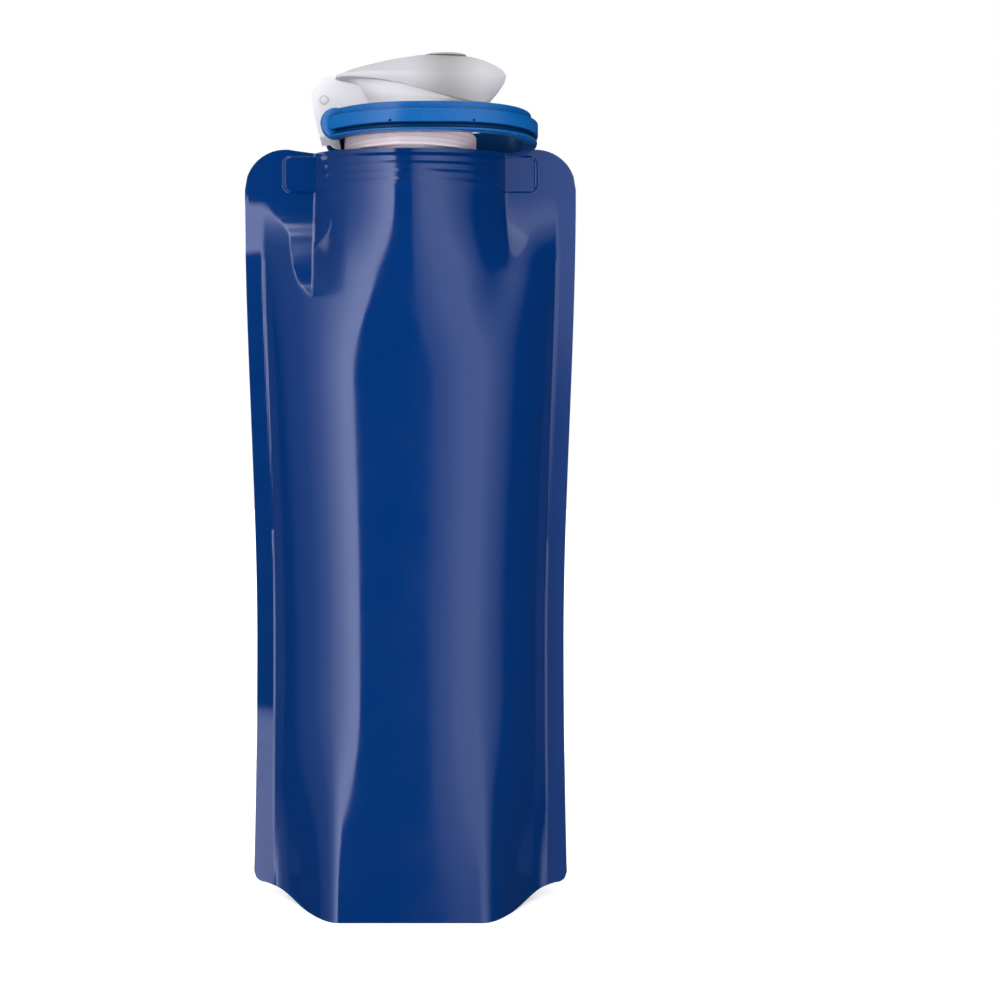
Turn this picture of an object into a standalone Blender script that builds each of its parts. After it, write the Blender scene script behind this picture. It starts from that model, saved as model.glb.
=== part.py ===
"""Collapsible stand-up water bottle: film pouch, screw cap with a flip lid, and a carabiner.

Lengths are written in millimetres and turned into metres where a mesh is made.
X runs across the pouch, Y through it (front is -Y) and Z up from the floor.
"""
import math

import bmesh
import bpy
from mathutils import Matrix, Vector

MM = 0.001
NAME = "collapsible_bottle"

# Pouch: two side films and a folded bottom film, welded round their edges
FILM = 0.5
GAP = 0.3
POUCH_HEIGHT = 269.0
SHOULDER_HALF_WIDTH = 59.5
WAIST_HALF_WIDTH = 55.1
FOOT_HALF_WIDTH = 56.2
WAIST_HEIGHT = 92.0
SIDE_SEAL = 7.0
TOP_SEAL = 16.0
FOOT_SEAL = 7.2
TOP_CORNER_R = 14.5
FOOT_CORNER_R = 4.0
CORNER_LIFT = 6.5
CHEST_HALF_DEPTH = 24.5
BELLY_HALF_DEPTH = 28.5
FOOT_HALF_DEPTH = 28.3
CHEST_HEIGHT = 205.0
FLAT_TOP = 165.0
FLAT_FADE = 60.0
FLANK_POWER = 3.8
FOOT_BLEND = 75.0
GUSSET_FOLD = 45.0
GUSSET_FLOOR = 1.4

# Weld boat of the spout, with its ribs and side wings
BOAT_HALF_LENGTH = 34.0
BOAT_HALF_DEPTH = 20.9
BOAT_DIP = 3.5
WING_ROOM = 8.5
WING_THICK = 1.2
WING_MARGIN = 2.0
RIBS = 4
RIB_HEIGHT = 0.5
BOAT_STEPS = 5

# Folds that run down from the boat's ends
DENT_REACH = 42.6
DENT_DRIFT = 8.8
DENT_LENGTH = 40.0
DENT_DEPTH = 4.2
DENT_WIDTH = 4.2
SOFT_DENT_REACH = 44.2
SOFT_DENT_DEPTH = 1.8
SOFT_DENT_WIDTH = 3.5

# Collar, neck and screw thread
COLLAR_BASE_R = 20.3
COLLAR_R = 23.7
COLLAR_STAND = 1.0
FLANGE_HEIGHT = 6.6
GROOVE_R = 20.4
GROOVE_HEIGHT = 0.7
RING_R = 22.7
RING_HEIGHT = 2.4
COLLAR_SIDES = 46
NECK_R = 13.9
NECK_WALL = 1.9
NECK_HEIGHT = 7.1
THREAD_PITCH = 3.5
THREAD_DEPTH = 1.1
THREAD_ROOT = 1.7
THREAD_CREST = 0.9
THREAD_TURNS = 1.25
CAP_THREAD_TURNS = 0.9
THREAD_START = 1.7
THREAD_PLAY = 0.5
THREAD_PHASE = 4.0

# Gasket and cap
GASKET_R = 20.0
GASKET_THICK = 1.7
CAP_R = 17.0
DECK = 1.6
CAP_TOP_HALF_WIDTH = 12.2
CAP_BACK = 23.5
CAP_FRONT = 20.5
RIM_RISE = 5.5
RIM_SLOPE = -0.18
BOWL_WALL = 1.5
SPOUT_GAP = 1.5
SPOUT_R = 4.9
SPOUT_BORE_R = 3.6
SPOUT_RISE = 6.0
SPOUT_LEAN = 3.0

# Hinge horn at the back of the cap
HORN_HALF_WIDTH = 8.0
PIN_OUT = 7.1
PIN_RISE = 1.2
LID_PIN_R = 1.4
PIN_PLAY = 0.2
KNUCKLE_HALF_WIDTH = 4.3
KNUCKLE_R = 3.2
KNUCKLE_ROOT = 1.0
HOOK_STEP = 4.5
HOOK_LIP = 1.6

# Flip lid and its plug
LID_WALL = 1.4
LID_HALF_WIDTH = 12.6
LID_STEP = 4.4
LID_TIP = 34.6
LID_RIM_FRONT = 27.3
LID_RISE = 13.5
SEAT_DEPTH = 0.6
PLUG_HEAD_LENGTH = 15.0
PLUG_HEAD_WIDTH = 8.6
PLUG_PROUD = 0.7
PLUG_BODY_R = 5.6
PLUG_STEM_R = 2.4
PLUG_NIPPLE_R = 3.1
PLUG_NIPPLE_LENGTH = 3.4

# Carabiner frame and wire gate
LOOP_CLEARANCE = 1.9
LOOP_REST = 1.05
LOOP_REACH = 40.3
LOOP_FLAT = 2.2
LOOP_WIDEST_X = 8.0
LOOP_LEFT = 0.42
LOOP_SQUARENESS = 2.55
LOOP_END_HALF_WIDTH = 12.2
LEG_THICK = 5.4
LEG_STEP = 2.4
LEG_HALF_HEIGHT = 5.05
BAR_R = 2.4
EYE_R = 5.3
GATE_ROOT_X = -10.5
GATE_TIP_X = 17.0
GATE_ROOT_OUT = 1.0
GATE_TIP_OUT = 2.0
GATE_HOLE_STEP = 4.0
BLOCK_HALF_HEIGHT = 3.2
WIRE_R = 0.8
NOSE_OVERLAP = 5.0
CUT_REACH = 12.0

BAND_Z = POUCH_HEIGHT - TOP_SEAL
WING_END = SHOULDER_HALF_WIDTH - SIDE_SEAL - WING_ROOM
COLLAR_Z = POUCH_HEIGHT - BOAT_DIP + COLLAR_STAND
GROOVE_Z = COLLAR_Z + FLANGE_HEIGHT
COLLAR_TOP_Z = GROOVE_Z + GROOVE_HEIGHT + RING_HEIGHT
SKIRT_Z = COLLAR_TOP_Z + GASKET_THICK + 2 * GAP
NECK_TOP_Z = COLLAR_TOP_Z + NECK_HEIGHT
DECK_Z = NECK_TOP_Z + 2 * GAP
RIM_HEIGHT = DECK_Z + RIM_RISE
SPOUT_TOP = DECK_Z + SPOUT_RISE
SPOUT_X = CAP_FRONT - BOWL_WALL - SPOUT_GAP - SPOUT_R
LID_PIN_X = -CAP_BACK - PIN_OUT
LID_PIN_Z = DECK_Z + PIN_RISE
LID_BACK = LID_PIN_X + LID_STEP
LID_CROWN = RIM_HEIGHT + LID_RISE
PLUG_TOP = LID_CROWN + PLUG_PROUD
BORE_R = NECK_R - NECK_WALL
SKIRT_R = NECK_R + THREAD_DEPTH + THREAD_PLAY
HOOK_R = BAR_R + GAP
HOOK_X = LID_PIN_X + HOOK_STEP
HOOK_Z = POUCH_HEIGHT + LOOP_REST + LEG_HALF_HEIGHT
LOOP_HALF_WIDTH = COLLAR_R + LOOP_CLEARANCE
GATE_ROOT_Y = LOOP_HALF_WIDTH + GATE_ROOT_OUT
GATE_TIP_Y = LOOP_HALF_WIDTH + GATE_TIP_OUT

# Half of the lid's outline from its hinge edge to its beak, as shares of its length and half width
LID_PLAN = [(0.0, 0.0), (0.0, 0.45), (0.01, 0.66), (0.05, 0.79), (0.13, 0.89), (0.24, 0.97),
            (0.36, 1.0), (0.48, 0.98), (0.62, 0.90), (0.75, 0.77), (0.86, 0.60), (0.94, 0.43),
            (0.985, 0.28), (1.0, 0.15), (1.0, 0.0)]

# Levels of the lid from rim to crown: how far in its back and its beak lie as shares of the
# length, its half width, and how far up its back and its beak are as shares of the rise
LID_LEVELS = [(0.0, 0.12, 0.976, 0.0, 0.0), (-0.007, 0.054, 1.016, 0.07, 0.29),
              (-0.002, 0.0, 1.0, 0.116, 0.553), (0.043, 0.021, 0.889, 0.22, 0.657),
              (0.151, 0.069, 0.683, 0.456, 0.77), (0.299, 0.15, 0.444, 0.722, 0.896),
              (0.464, 0.24, 0.254, 0.942, 0.984)]


# General helpers
def smooth(value):
    """Ease a value from 0 to 1 with level ends."""
    value = min(max(value, 0.0), 1.0)
    return value * value * (3 - 2 * value)


def mix(low, high, share):
    return low + (high - low) * share


def spaced(low, high, count):
    """Count values after low, evenly spaced, the last one being high."""
    return [mix(low, high, (i + 1) / count) for i in range(count)]


def clear_scene():
    for item in list(bpy.data.objects):
        bpy.data.objects.remove(item, do_unlink=True)


def collection(name):
    group = bpy.data.collections.new(name)
    bpy.context.scene.collection.children.link(group)
    return group


def plastic(name, colour, rough, metal=0.0, alpha=1.0, transmission=0.0):
    """One Principled material in the colour that the piece has."""
    material = bpy.data.materials.new(name)
    material.use_nodes = True
    shader = material.node_tree.nodes["Principled BSDF"]
    shader.inputs["Base Color"].default_value = (*colour, 1.0)
    shader.inputs["Roughness"].default_value = rough
    shader.inputs["Metallic"].default_value = metal
    shader.inputs["Alpha"].default_value = alpha
    shader.inputs["Transmission Weight"].default_value = transmission
    return material


def place(mesh_or_curve, name, material=None):
    """Put a piece in the bottle's collection, or a cutter in the other one."""
    item = bpy.data.objects.new(name, mesh_or_curve)
    if material is None:
        CUTTERS.objects.link(item)
        item.hide_render = True
        item.display_type = "WIRE"
    else:
        PIECES.objects.link(item)
        mesh_or_curve.materials.append(material)
    return item


def finish_mesh(work, name, angle=35):
    """Turn a bmesh in millimetres into a mesh in metres with smooth round faces."""
    bmesh.ops.recalc_face_normals(work, faces=work.faces)
    bmesh.ops.scale(work, vec=(MM, MM, MM), verts=work.verts)
    mesh = bpy.data.meshes.new(name)
    work.to_mesh(mesh)
    work.free()
    mesh.shade_smooth()
    mesh.set_sharp_from_angle(angle=math.radians(angle))
    return mesh


def loft(name, rings, strip_ends=False):
    """Skin a run of closed rings, each with the same number of points.

    A thin bent ring, which runs out on one side and back on the other, gets a
    strip of four-sided faces at each end instead of one bent face.
    """
    work = bmesh.new()
    rows = [[work.verts.new(point) for point in ring] for ring in rings]
    count = len(rings[0])
    for low, high in zip(rows, rows[1:]):
        for i in range(count):
            j = (i + 1) % count
            work.faces.new((low[i], low[j], high[j], high[i]))
    for end in (rows[0], rows[-1]):
        if not strip_ends:
            work.faces.new(end)
            continue
        for i in range(count // 2 - 1):
            work.faces.new((end[i], end[i + 1], end[count - 2 - i], end[count - 1 - i]))
    return finish_mesh(work, name)


def turned(name, profile, steps, material=None, centre=(0.0, 0.0)):
    """Revolve a closed or axis-touching (radius, height) profile with a Screw modifier."""
    work = bmesh.new()
    points = [work.verts.new((r * MM, 0, z * MM)) for r, z in profile]
    for a, b in zip(points, points[1:]):
        work.edges.new((a, b))
    if profile[0][0] > 0:
        work.edges.new((points[-1], points[0]))
    mesh = bpy.data.meshes.new(name)
    work.to_mesh(mesh)
    work.free()
    item = place(mesh, name, material)
    item.location = (centre[0] * MM, centre[1] * MM, 0)
    screw = item.modifiers.new("turn", "SCREW")
    screw.steps = steps
    screw.render_steps = steps
    screw.use_merge_vertices = True
    screw.merge_threshold = 0.00001
    screw.use_smooth_shade = True
    screw.use_normal_calculate = True
    return item


def cylinder(name, radius, low, high, axis="Z", sides=32, material=None):
    """A straight round bar between two points that differ only along one axis."""
    work = bmesh.new()
    length = (Vector(high) - Vector(low)).length
    bmesh.ops.create_cone(work, cap_ends=True, segments=sides, radius1=radius,
                          radius2=radius, depth=length)
    turn = {"X": Matrix.Rotation(math.pi / 2, 4, "Y"),
            "Y": Matrix.Rotation(math.pi / 2, 4, "X"),
            "Z": Matrix.Identity(4)}[axis]
    middle = (Vector(high) + Vector(low)) / 2
    bmesh.ops.transform(work, matrix=Matrix.Translation(middle) @ turn, verts=work.verts)
    return place(finish_mesh(work, name), name, material)


def block(name, low, high):
    """A box cutter between two corners."""
    work = bmesh.new()
    bmesh.ops.create_cube(work, size=1)
    size = [b - a for a, b in zip(low, high)]
    middle = [(a + b) / 2 for a, b in zip(low, high)]
    bmesh.ops.scale(work, vec=size, verts=work.verts)
    bmesh.ops.translate(work, vec=middle, verts=work.verts)
    return place(finish_mesh(work, name), name)


def plate(name, outline, half_width):
    """A closed outline in the XZ plane, given thickness along Y."""
    rings = [[(x, side * half_width, z) for x, z in outline] for side in (-1, 1)]
    return loft(name, rings)


def combine(item, other, operation="DIFFERENCE"):
    """Cut another object out of this one, or join it on."""
    step = item.modifiers.new(operation.lower() + "_" + other.name, "BOOLEAN")
    step.operation = operation
    step.object = other
    step.solver = "EXACT"


def arc(centre, radius, start, end, count):
    """Points on an arc in degrees, both ends included."""
    points = []
    for i in range(count + 1):
        angle = math.radians(mix(start, end, i / count))
        points.append((centre[0] + radius * math.cos(angle), centre[1] + radius * math.sin(angle)))
    return points


# Shape of the filled pouch
def half_width(z):
    """Half of the pouch's width at a height, seals included."""
    if z > WAIST_HEIGHT:
        return mix(WAIST_HALF_WIDTH, SHOULDER_HALF_WIDTH,
                   smooth((z - WAIST_HEIGHT) / (BAND_Z - WAIST_HEIGHT)))
    share = (WAIST_HEIGHT - z) / WAIST_HEIGHT
    return mix(WAIST_HALF_WIDTH, FOOT_HALF_WIDTH, share * share)


def half_depth(z):
    if z > WAIST_HEIGHT:
        return mix(BELLY_HALF_DEPTH, CHEST_HALF_DEPTH,
                   smooth((z - WAIST_HEIGHT) / (CHEST_HEIGHT - WAIST_HEIGHT)))
    return mix(FOOT_HALF_DEPTH, BELLY_HALF_DEPTH, smooth(z / WAIST_HEIGHT))


def lens(x, half_chord, depth):
    """Height of a circular arc over its chord."""
    if abs(x) >= half_chord:
        return 0.0
    radius = (half_chord ** 2 + depth ** 2) / (2 * depth)
    return math.sqrt(radius ** 2 - x ** 2) - (radius - depth)


def foot_section(x, half_chord, depth):
    """The base outline: a flat front that swings in to the welded corners."""
    return depth * smooth((0.98 - abs(x) / half_chord) / 0.48)


def flat_section(x, half_chord, depth):
    """The filled body: nearly flat in front, with flanks that turn in to the seals."""
    share = abs(x) / half_chord
    return depth * (1 - share ** FLANK_POWER) if share < 1 else 0.0


def seal_half_gap(z):
    """Below the fold the two legs of the bottom film lie between the side films."""
    layers = 1 - smooth((z - GUSSET_FOLD) / (2 * FOOT_SEAL))
    return GAP / 2 + (FILM + GAP) * layers


def shoulder_dents(x, z, side):
    """Soft folds that run down from the ends of the weld boat."""
    if z > BAND_Z:
        return 0.0
    fall = (BAND_Z - z) / DENT_LENGTH
    deep = smooth(fall / 0.225) * (1 - smooth(2 * fall - 1))
    reach = DENT_REACH - DENT_DRIFT * fall * fall
    left = DENT_DEPTH * deep * math.exp(-((x + reach) / DENT_WIDTH) ** 2)
    right = SOFT_DENT_DEPTH * deep * math.exp(-((x - SOFT_DENT_REACH) / SOFT_DENT_WIDTH) ** 2)
    return (left + right) if side < 0 else (right + 0.5 * left)


def rib(z, top):
    """Zigzag of the horizontal weld ribs, as a share of their height."""
    share = (z - BAND_Z) / (top - BAND_Z) * (2 * RIBS + 1)
    return max(0.0, 1 - abs(share % 2 - 1)) if 0 < share < 2 * RIBS else 0.0


def band_top(x):
    """The pouch's top edge, which sags where the spout pulls the films apart."""
    share = min(abs(x) / WING_END, 1.0)
    return POUCH_HEIGHT - BOAT_DIP * (1 - share * share)


def inner_face(x, z, side):
    """Distance of a side film's inner face from the middle plane."""
    chord = half_width(z) - SIDE_SEAL
    depth = half_depth(z)
    foot = 1 - smooth(z / FOOT_BLEND)
    flat = 1 - smooth((z - FLAT_TOP) / FLAT_FADE)
    body = mix(lens(x, chord, depth), flat_section(x, chord, depth), flat)
    body = mix(body, foot_section(x, chord, depth), foot)
    boat = lens(x, BOAT_HALF_LENGTH, BOAT_HALF_DEPTH - GAP / 2)
    top = smooth((z - CHEST_HEIGHT + 8) / (BAND_Z - CHEST_HEIGHT + 8))
    bulge = mix(body, boat, top)
    bulge = max(bulge - shoulder_dents(x, z, side), 0.0)
    wing = (WING_THICK + GAP) / 2
    rise = smooth((z - BAND_Z + 6) / 5) * (1 - smooth((z - band_top(x) + 2.2) / 1.8))
    reach = 1 - smooth((abs(x) - WING_END - 1) / 1.5)
    bulge = max(bulge, wing * rise * reach)
    if z > BAND_Z:
        fade = smooth((BOAT_HALF_LENGTH - abs(x)) / 2)
        bulge += RIB_HEIGHT * fade * rib(z, band_top(x))
    return seal_half_gap(z) + bulge


def slope_factor(x, z, side):
    """How much a thickness grows when it is measured along Y instead of square to the film."""
    step = 0.4
    across = (inner_face(x + step, z, side) - inner_face(x - step, z, side)) / (2 * step)
    return math.sqrt(1 + across * across)


def columns():
    """Distances from the middle at which the films are shaped, on one side."""
    seal = SHOULDER_HALF_WIDTH - SIDE_SEAL
    boat = [BOAT_HALF_LENGTH * math.sin(math.pi / 2 * i / BOAT_STEPS)
            for i in range(BOAT_STEPS + 1)]
    wing = [mix(BOAT_HALF_LENGTH, WING_END, 0.2), mix(BOAT_HALF_LENGTH, WING_END, 0.6),
            WING_END + 1, WING_END + 2.5]
    rest = [mix(WING_END + 2.5, seal, 0.5), seal, mix(seal, SHOULDER_HALF_WIDTH, 0.5)]
    return boat + wing + rest + [SHOULDER_HALF_WIDTH]


def column_x(station, z):
    """The columns draw in with the pouch, and the side seals keep their width."""
    seal = SHOULDER_HALF_WIDTH - SIDE_SEAL
    chord = half_width(z) - SIDE_SEAL
    if abs(station) <= seal:
        return station * chord / seal
    return math.copysign(chord + abs(station) - seal, station)


def film_rows():
    """Heights at which the films are shaped, from the floor to the top edge."""
    rows = [0.0, FOOT_SEAL / 2, FOOT_SEAL]
    rows += spaced(FOOT_SEAL, GUSSET_FOLD, 4)
    rows += spaced(GUSSET_FOLD, WAIST_HEIGHT, 2)
    rows += spaced(WAIST_HEIGHT, CHEST_HEIGHT, 4)
    rows += spaced(CHEST_HEIGHT, BAND_Z, 7)
    rows += spaced(BAND_Z, POUCH_HEIGHT, 2 * RIBS + 1)
    return rows


def lift(x, row):
    """The welded bottom corners stand clear of the floor."""
    start = 0.62 * FOOT_HALF_WIDTH
    corner = smooth((abs(x) - start) / (FOOT_HALF_WIDTH - start))
    return CORNER_LIFT * corner * max(0.0, 1 - row / FOOT_BLEND)


def film_height(x, row):
    if row <= BAND_Z:
        return row + lift(x, row)
    return BAND_Z + (row - BAND_Z) / TOP_SEAL * (band_top(x) - BAND_Z)


def side_film(name, side, material):
    """A front or back film: a thin shell lofted across the pouch, then die cut."""
    half = columns()
    stations = [-x for x in reversed(half[1:])] + half
    rings = []
    for station in stations:
        inner = []
        outer = []
        for row in film_rows():
            x = column_x(station, row)
            z = film_height(x, row)
            near = inner_face(x, z, side)
            far = near + FILM * slope_factor(x, z, side)
            inner.append((x, side * near, z))
            outer.append((x, side * far, z))
        rings.append(inner + list(reversed(outer)))
    film = place(loft(name, rings, strip_ends=True), name, material)
    for cutter in EDGE_CUTTERS:
        combine(film, cutter)
    return film


def corner_cutter(name, x, z, radius, up, side):
    """What is trimmed off outside a rounded corner of the pouch."""
    reach = 6.0
    centre = (x - side * radius, z - up * radius)
    start = 0 if side > 0 else 180
    turn = 90 * up * side
    curve = arc(centre, radius, start, start + turn, 8)
    outline = [(x + side * reach, centre[1])] + curve + [(centre[0], z + up * reach),
                                                        (x + side * reach, z + up * reach)]
    return place(plate(name, outline, 2 * FOOT_HALF_DEPTH), name)


def edge_cutters():
    """What rounds off the four corners of the pouch."""
    cutters = []
    for side, word in ((-1, "left"), (1, "right")):
        cutters.append(corner_cutter("cut_top_" + word, side * SHOULDER_HALF_WIDTH, POUCH_HEIGHT,
                                     TOP_CORNER_R, 1, side))
        low = lift(FOOT_HALF_WIDTH - FOOT_CORNER_R, 0)
        cutters.append(corner_cutter("cut_foot_" + word, side * FOOT_HALF_WIDTH, low,
                                     FOOT_CORNER_R, -1, side))
    return cutters


# Bottom film
def fold_height(x):
    """Height of the bottom film's middle line, which climbs to the side seals."""
    chord = FOOT_HALF_WIDTH - SIDE_SEAL
    share = min(abs(x) / chord, 1.0)
    return mix(GUSSET_FLOOR, GUSSET_FOLD, share ** 2.6)


def gusset_arch(x, inset, depth_below):
    """Half of the arch at one place, from the foot seal to the middle line."""
    points = []
    bend = 4.0
    for row in (0.0, FOOT_SEAL):
        z = film_height(x, row)
        reach = inner_face(x, z, -1) - inset * slope_factor(x, z, -1)
        points.append((reach, z))
    reach, start = points[-1]
    top = fold_height(x) - depth_below
    for i in range(1, 6):
        angle = math.pi / 2 * i / 5
        side = reach * math.cos(angle) ** (2 / bend) if i < 5 else 0.0
        climb = math.sin(angle) ** (2 / bend)
        points.append((side, mix(start, top, climb)))
    return points


def bottom_gusset(material):
    """The bottom film: a folded saddle whose skirt is welded inside the side films."""
    half = [x for x in columns() if x <= SHOULDER_HALF_WIDTH - SIDE_SEAL]
    half += [SHOULDER_HALF_WIDTH - SIDE_SEAL / 2, SHOULDER_HALF_WIDTH]
    rings = []
    for station in [-x for x in reversed(half[1:])] + half:
        x = column_x(station, FOOT_SEAL)
        upper = gusset_arch(x, GAP, 0.0)
        lower = gusset_arch(x, GAP + FILM, FILM)
        front = [(x, -y, z) for y, z in upper]
        back = [(x, y, z) for y, z in reversed(upper[:-1])]
        under_back = [(x, y, z) for y, z in lower]
        under_front = [(x, -y, z) for y, z in reversed(lower[:-1])]
        rings.append(front + back + under_back + under_front)
    film = place(loft("bottom_gusset", rings), "bottom_gusset", material)
    for cutter in EDGE_CUTTERS[1::2]:
        combine(film, cutter)
    return film


# Spout fitment
def boat_mesh():
    """The weld boat: a ribbed lens between the films, with a flat wing at each end."""
    half = columns()[:BOAT_STEPS + 1]
    rows = [row for row in film_rows() if row >= BAND_Z]
    rings = []
    wing_low = BAND_Z + WING_MARGIN
    wing_high = band_top(WING_END) - WING_MARGIN - 2
    for x in [-WING_END] + [-x for x in reversed(half[1:])] + half + [WING_END]:
        ring = []
        for row in rows:
            if abs(x) >= BOAT_HALF_LENGTH:
                z = mix(wing_low, wing_high, (row - BAND_Z) / TOP_SEAL)
                ring.append((WING_THICK / 2, z))
                continue
            z = min(film_height(x, row), band_top(x) - 0.4)
            z = max(z, BAND_Z + 0.2)
            reach = inner_face(x, film_height(x, row), -1)
            reach -= GAP * slope_factor(x, film_height(x, row), -1)
            ring.append((max(reach, WING_THICK / 2), z))
        rings.append([(x, -y, z) for y, z in ring] + [(x, y, z) for y, z in reversed(ring)])
    return loft("weld_boat", rings)


def thread_ridge(name, root_r, crest_r, start_z, turns):
    """A helical ridge whose ends taper into the wall it stands on."""
    per_turn = 24
    count = round(per_turn * turns)
    sink = 0.35 if crest_r > root_r else -0.35
    rings = []
    for i in range(count + 1):
        angle = 2 * math.pi * i / per_turn + math.radians(THREAD_PHASE)
        z = start_z + THREAD_PITCH * i / per_turn
        taper = min(1.0, (i + 0.4) / 3, (count - i + 0.4) / 3)
        crest = mix(root_r, crest_r, taper)
        section = [(root_r - sink, z - THREAD_ROOT / 2), (crest, z - THREAD_CREST / 2),
                   (crest, z + THREAD_CREST / 2), (root_r - sink, z + THREAD_ROOT / 2)]
        rings.append([(r * math.cos(angle), r * math.sin(angle), height) for r, height in section])
    return place(loft(name, rings), name)


def spout_fitment(material):
    """Boat, collar and threaded neck in one moulding, with the bore right through it."""
    fitment = place(boat_mesh(), "spout_fitment", material)
    neck_profile = [(NECK_R - NECK_WALL / 2, NECK_TOP_Z),
                    (NECK_R, NECK_TOP_Z - 0.6),
                    (NECK_R, COLLAR_TOP_Z),
                    (RING_R, COLLAR_TOP_Z),
                    (RING_R, COLLAR_TOP_Z - 0.7),
                    (GROOVE_R, GROOVE_Z + GROOVE_HEIGHT),
                    (GROOVE_R, GROOVE_Z),
                    (COLLAR_R - 0.9, GROOVE_Z),
                    (COLLAR_R, GROOVE_Z - 0.9),
                    (COLLAR_R, COLLAR_Z),
                    (COLLAR_BASE_R, COLLAR_Z),
                    (COLLAR_BASE_R, BAND_Z + TOP_SEAL / 2),
                    (BORE_R - 1, BAND_Z + TOP_SEAL / 2),
                    (BORE_R - 1, NECK_TOP_Z)]
    combine(fitment, turned("collar_and_neck", neck_profile, COLLAR_SIDES), "UNION")
    combine(fitment, thread_ridge("neck_thread", NECK_R, NECK_R + THREAD_DEPTH,
                                  COLLAR_TOP_Z + THREAD_START, THREAD_TURNS), "UNION")
    combine(fitment, cylinder("cut_bore", BORE_R, (0, 0, BAND_Z - 5), (0, 0, NECK_TOP_Z + 5),
                              sides=42))
    return fitment


def cap_gasket(material):
    """Soft ring between the collar and the cap's skirt."""
    low = COLLAR_TOP_Z + GAP
    high = low + GASKET_THICK
    inner = NECK_R + THREAD_DEPTH + THREAD_PLAY
    profile = [(inner, high), (GASKET_R - 0.6, high), (GASKET_R, high - 0.6),
               (GASKET_R, low + 0.6), (GASKET_R - 0.6, low), (inner, low)]
    return turned("cap_gasket", profile, 40, material)


# Cap
def rim(x):
    """Height of the plane in which the lid closes on the cap."""
    return RIM_HEIGHT + RIM_SLOPE * x


def oval(back, front, half_width_y, height, count=36):
    """A closed oval ring, its height given as a function of x."""
    middle = mix(back, front, 0.5)
    ring = []
    for i in range(count):
        angle = 2 * math.pi * i / count
        x = middle + (front - middle) * math.cos(angle)
        ring.append((x, half_width_y * math.sin(angle), height(x)))
    return ring


def cap_shell():
    """The cap's outer form: a round skirt that grows into the tilted oval under the lid."""
    shoulder = DECK_Z + DECK / 2

    def between(share):
        back = mix(-CAP_R, -CAP_BACK, share)
        front = mix(CAP_R, CAP_FRONT, share)
        width = mix(CAP_R, CAP_TOP_HALF_WIDTH, share ** 1.3)
        return oval(back, front, width, lambda x: mix(shoulder, rim(x) - GAP / 2, share))

    rings = [oval(-CAP_R, CAP_R, CAP_R, lambda x: SKIRT_Z)]
    rings += [between(share) for share in (0.0, 0.25, 0.5, 0.75, 1.0)]
    return loft("cap_body", rings)


def cap_recess():
    """The hollow on top of the cap, round the spout."""
    floor = DECK_Z + DECK
    back = -CAP_R + 2 * BOWL_WALL
    low = oval(back, CAP_FRONT - BOWL_WALL - 1, CAP_TOP_HALF_WIDTH - BOWL_WALL, lambda x: floor)
    high = oval(back, CAP_FRONT - BOWL_WALL, CAP_TOP_HALF_WIDTH - BOWL_WALL,
                lambda x: rim(x) + 3)
    return place(loft("cut_bowl", [low, high]), "cut_bowl")


def horn_outline():
    """Side view of the horn: a lid knuckle seat above and a snap hook below."""
    hook = (HOOK_X, HOOK_Z)
    mouth_top = 30
    mouth_low = 280
    grip = arc(hook, HOOK_R, mouth_top, mouth_low, 20)
    lip = arc(hook, HOOK_R + HOOK_LIP, mouth_low, mouth_low - 60, 5)
    back = [(LID_PIN_X - 1.6, HOOK_Z - 3.2),
            (LID_PIN_X - 2.6, HOOK_Z + 0.8),
            (LID_PIN_X - 3.6, LID_PIN_Z - 4.1),
            (LID_PIN_X - 4.3, LID_PIN_Z + 0.6),
            (LID_PIN_X - 4.0, LID_PIN_Z + 2.8),
            (LID_PIN_X - 2.6, LID_PIN_Z + 5.4),
            (LID_PIN_X - 0.8, LID_PIN_Z + 7.2),
            (LID_PIN_X + 1.4, LID_PIN_Z + 8.3),
            (LID_PIN_X + 3.6, LID_PIN_Z + 8.6)]
    top = [(LID_BACK - 0.5, rim(LID_BACK) - 1.0),
           (-CAP_R - 3, rim(-CAP_R) - 1.6),
           (-CAP_R + 3, rim(-CAP_R) - 3.5),
           (-CAP_R + 3, SKIRT_Z + 0.8),
           (-CAP_R - 4.4, SKIRT_Z + 0.5)]
    return top + grip + lip + back


def spout_tube():
    """The drinking spout that stands on the deck under the plug."""
    inside = SPOUT_BORE_R - 1
    profile = [(inside, SPOUT_TOP), (SPOUT_R - 0.7, SPOUT_TOP), (SPOUT_R - 0.2, SPOUT_TOP - 0.6),
               (SPOUT_R, DECK_Z + DECK / 2), (inside, DECK_Z + DECK / 2)]
    return turned("spout_tube", profile, 28, None, (SPOUT_X, 0))


def spout_bore():
    """The bore leans back below the deck, so that it opens inside the neck."""
    levels = [(SPOUT_X - SPOUT_LEAN, DECK_Z - 0.5), (SPOUT_X, DECK_Z + DECK + 0.4),
              (SPOUT_X, SPOUT_TOP + 2)]
    rings = [oval(x - SPOUT_BORE_R, x + SPOUT_BORE_R, SPOUT_BORE_R, lambda _, z=z: z, 25)
             for x, z in levels]
    return place(loft("cut_spout_bore", rings), "cut_spout_bore")


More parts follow.
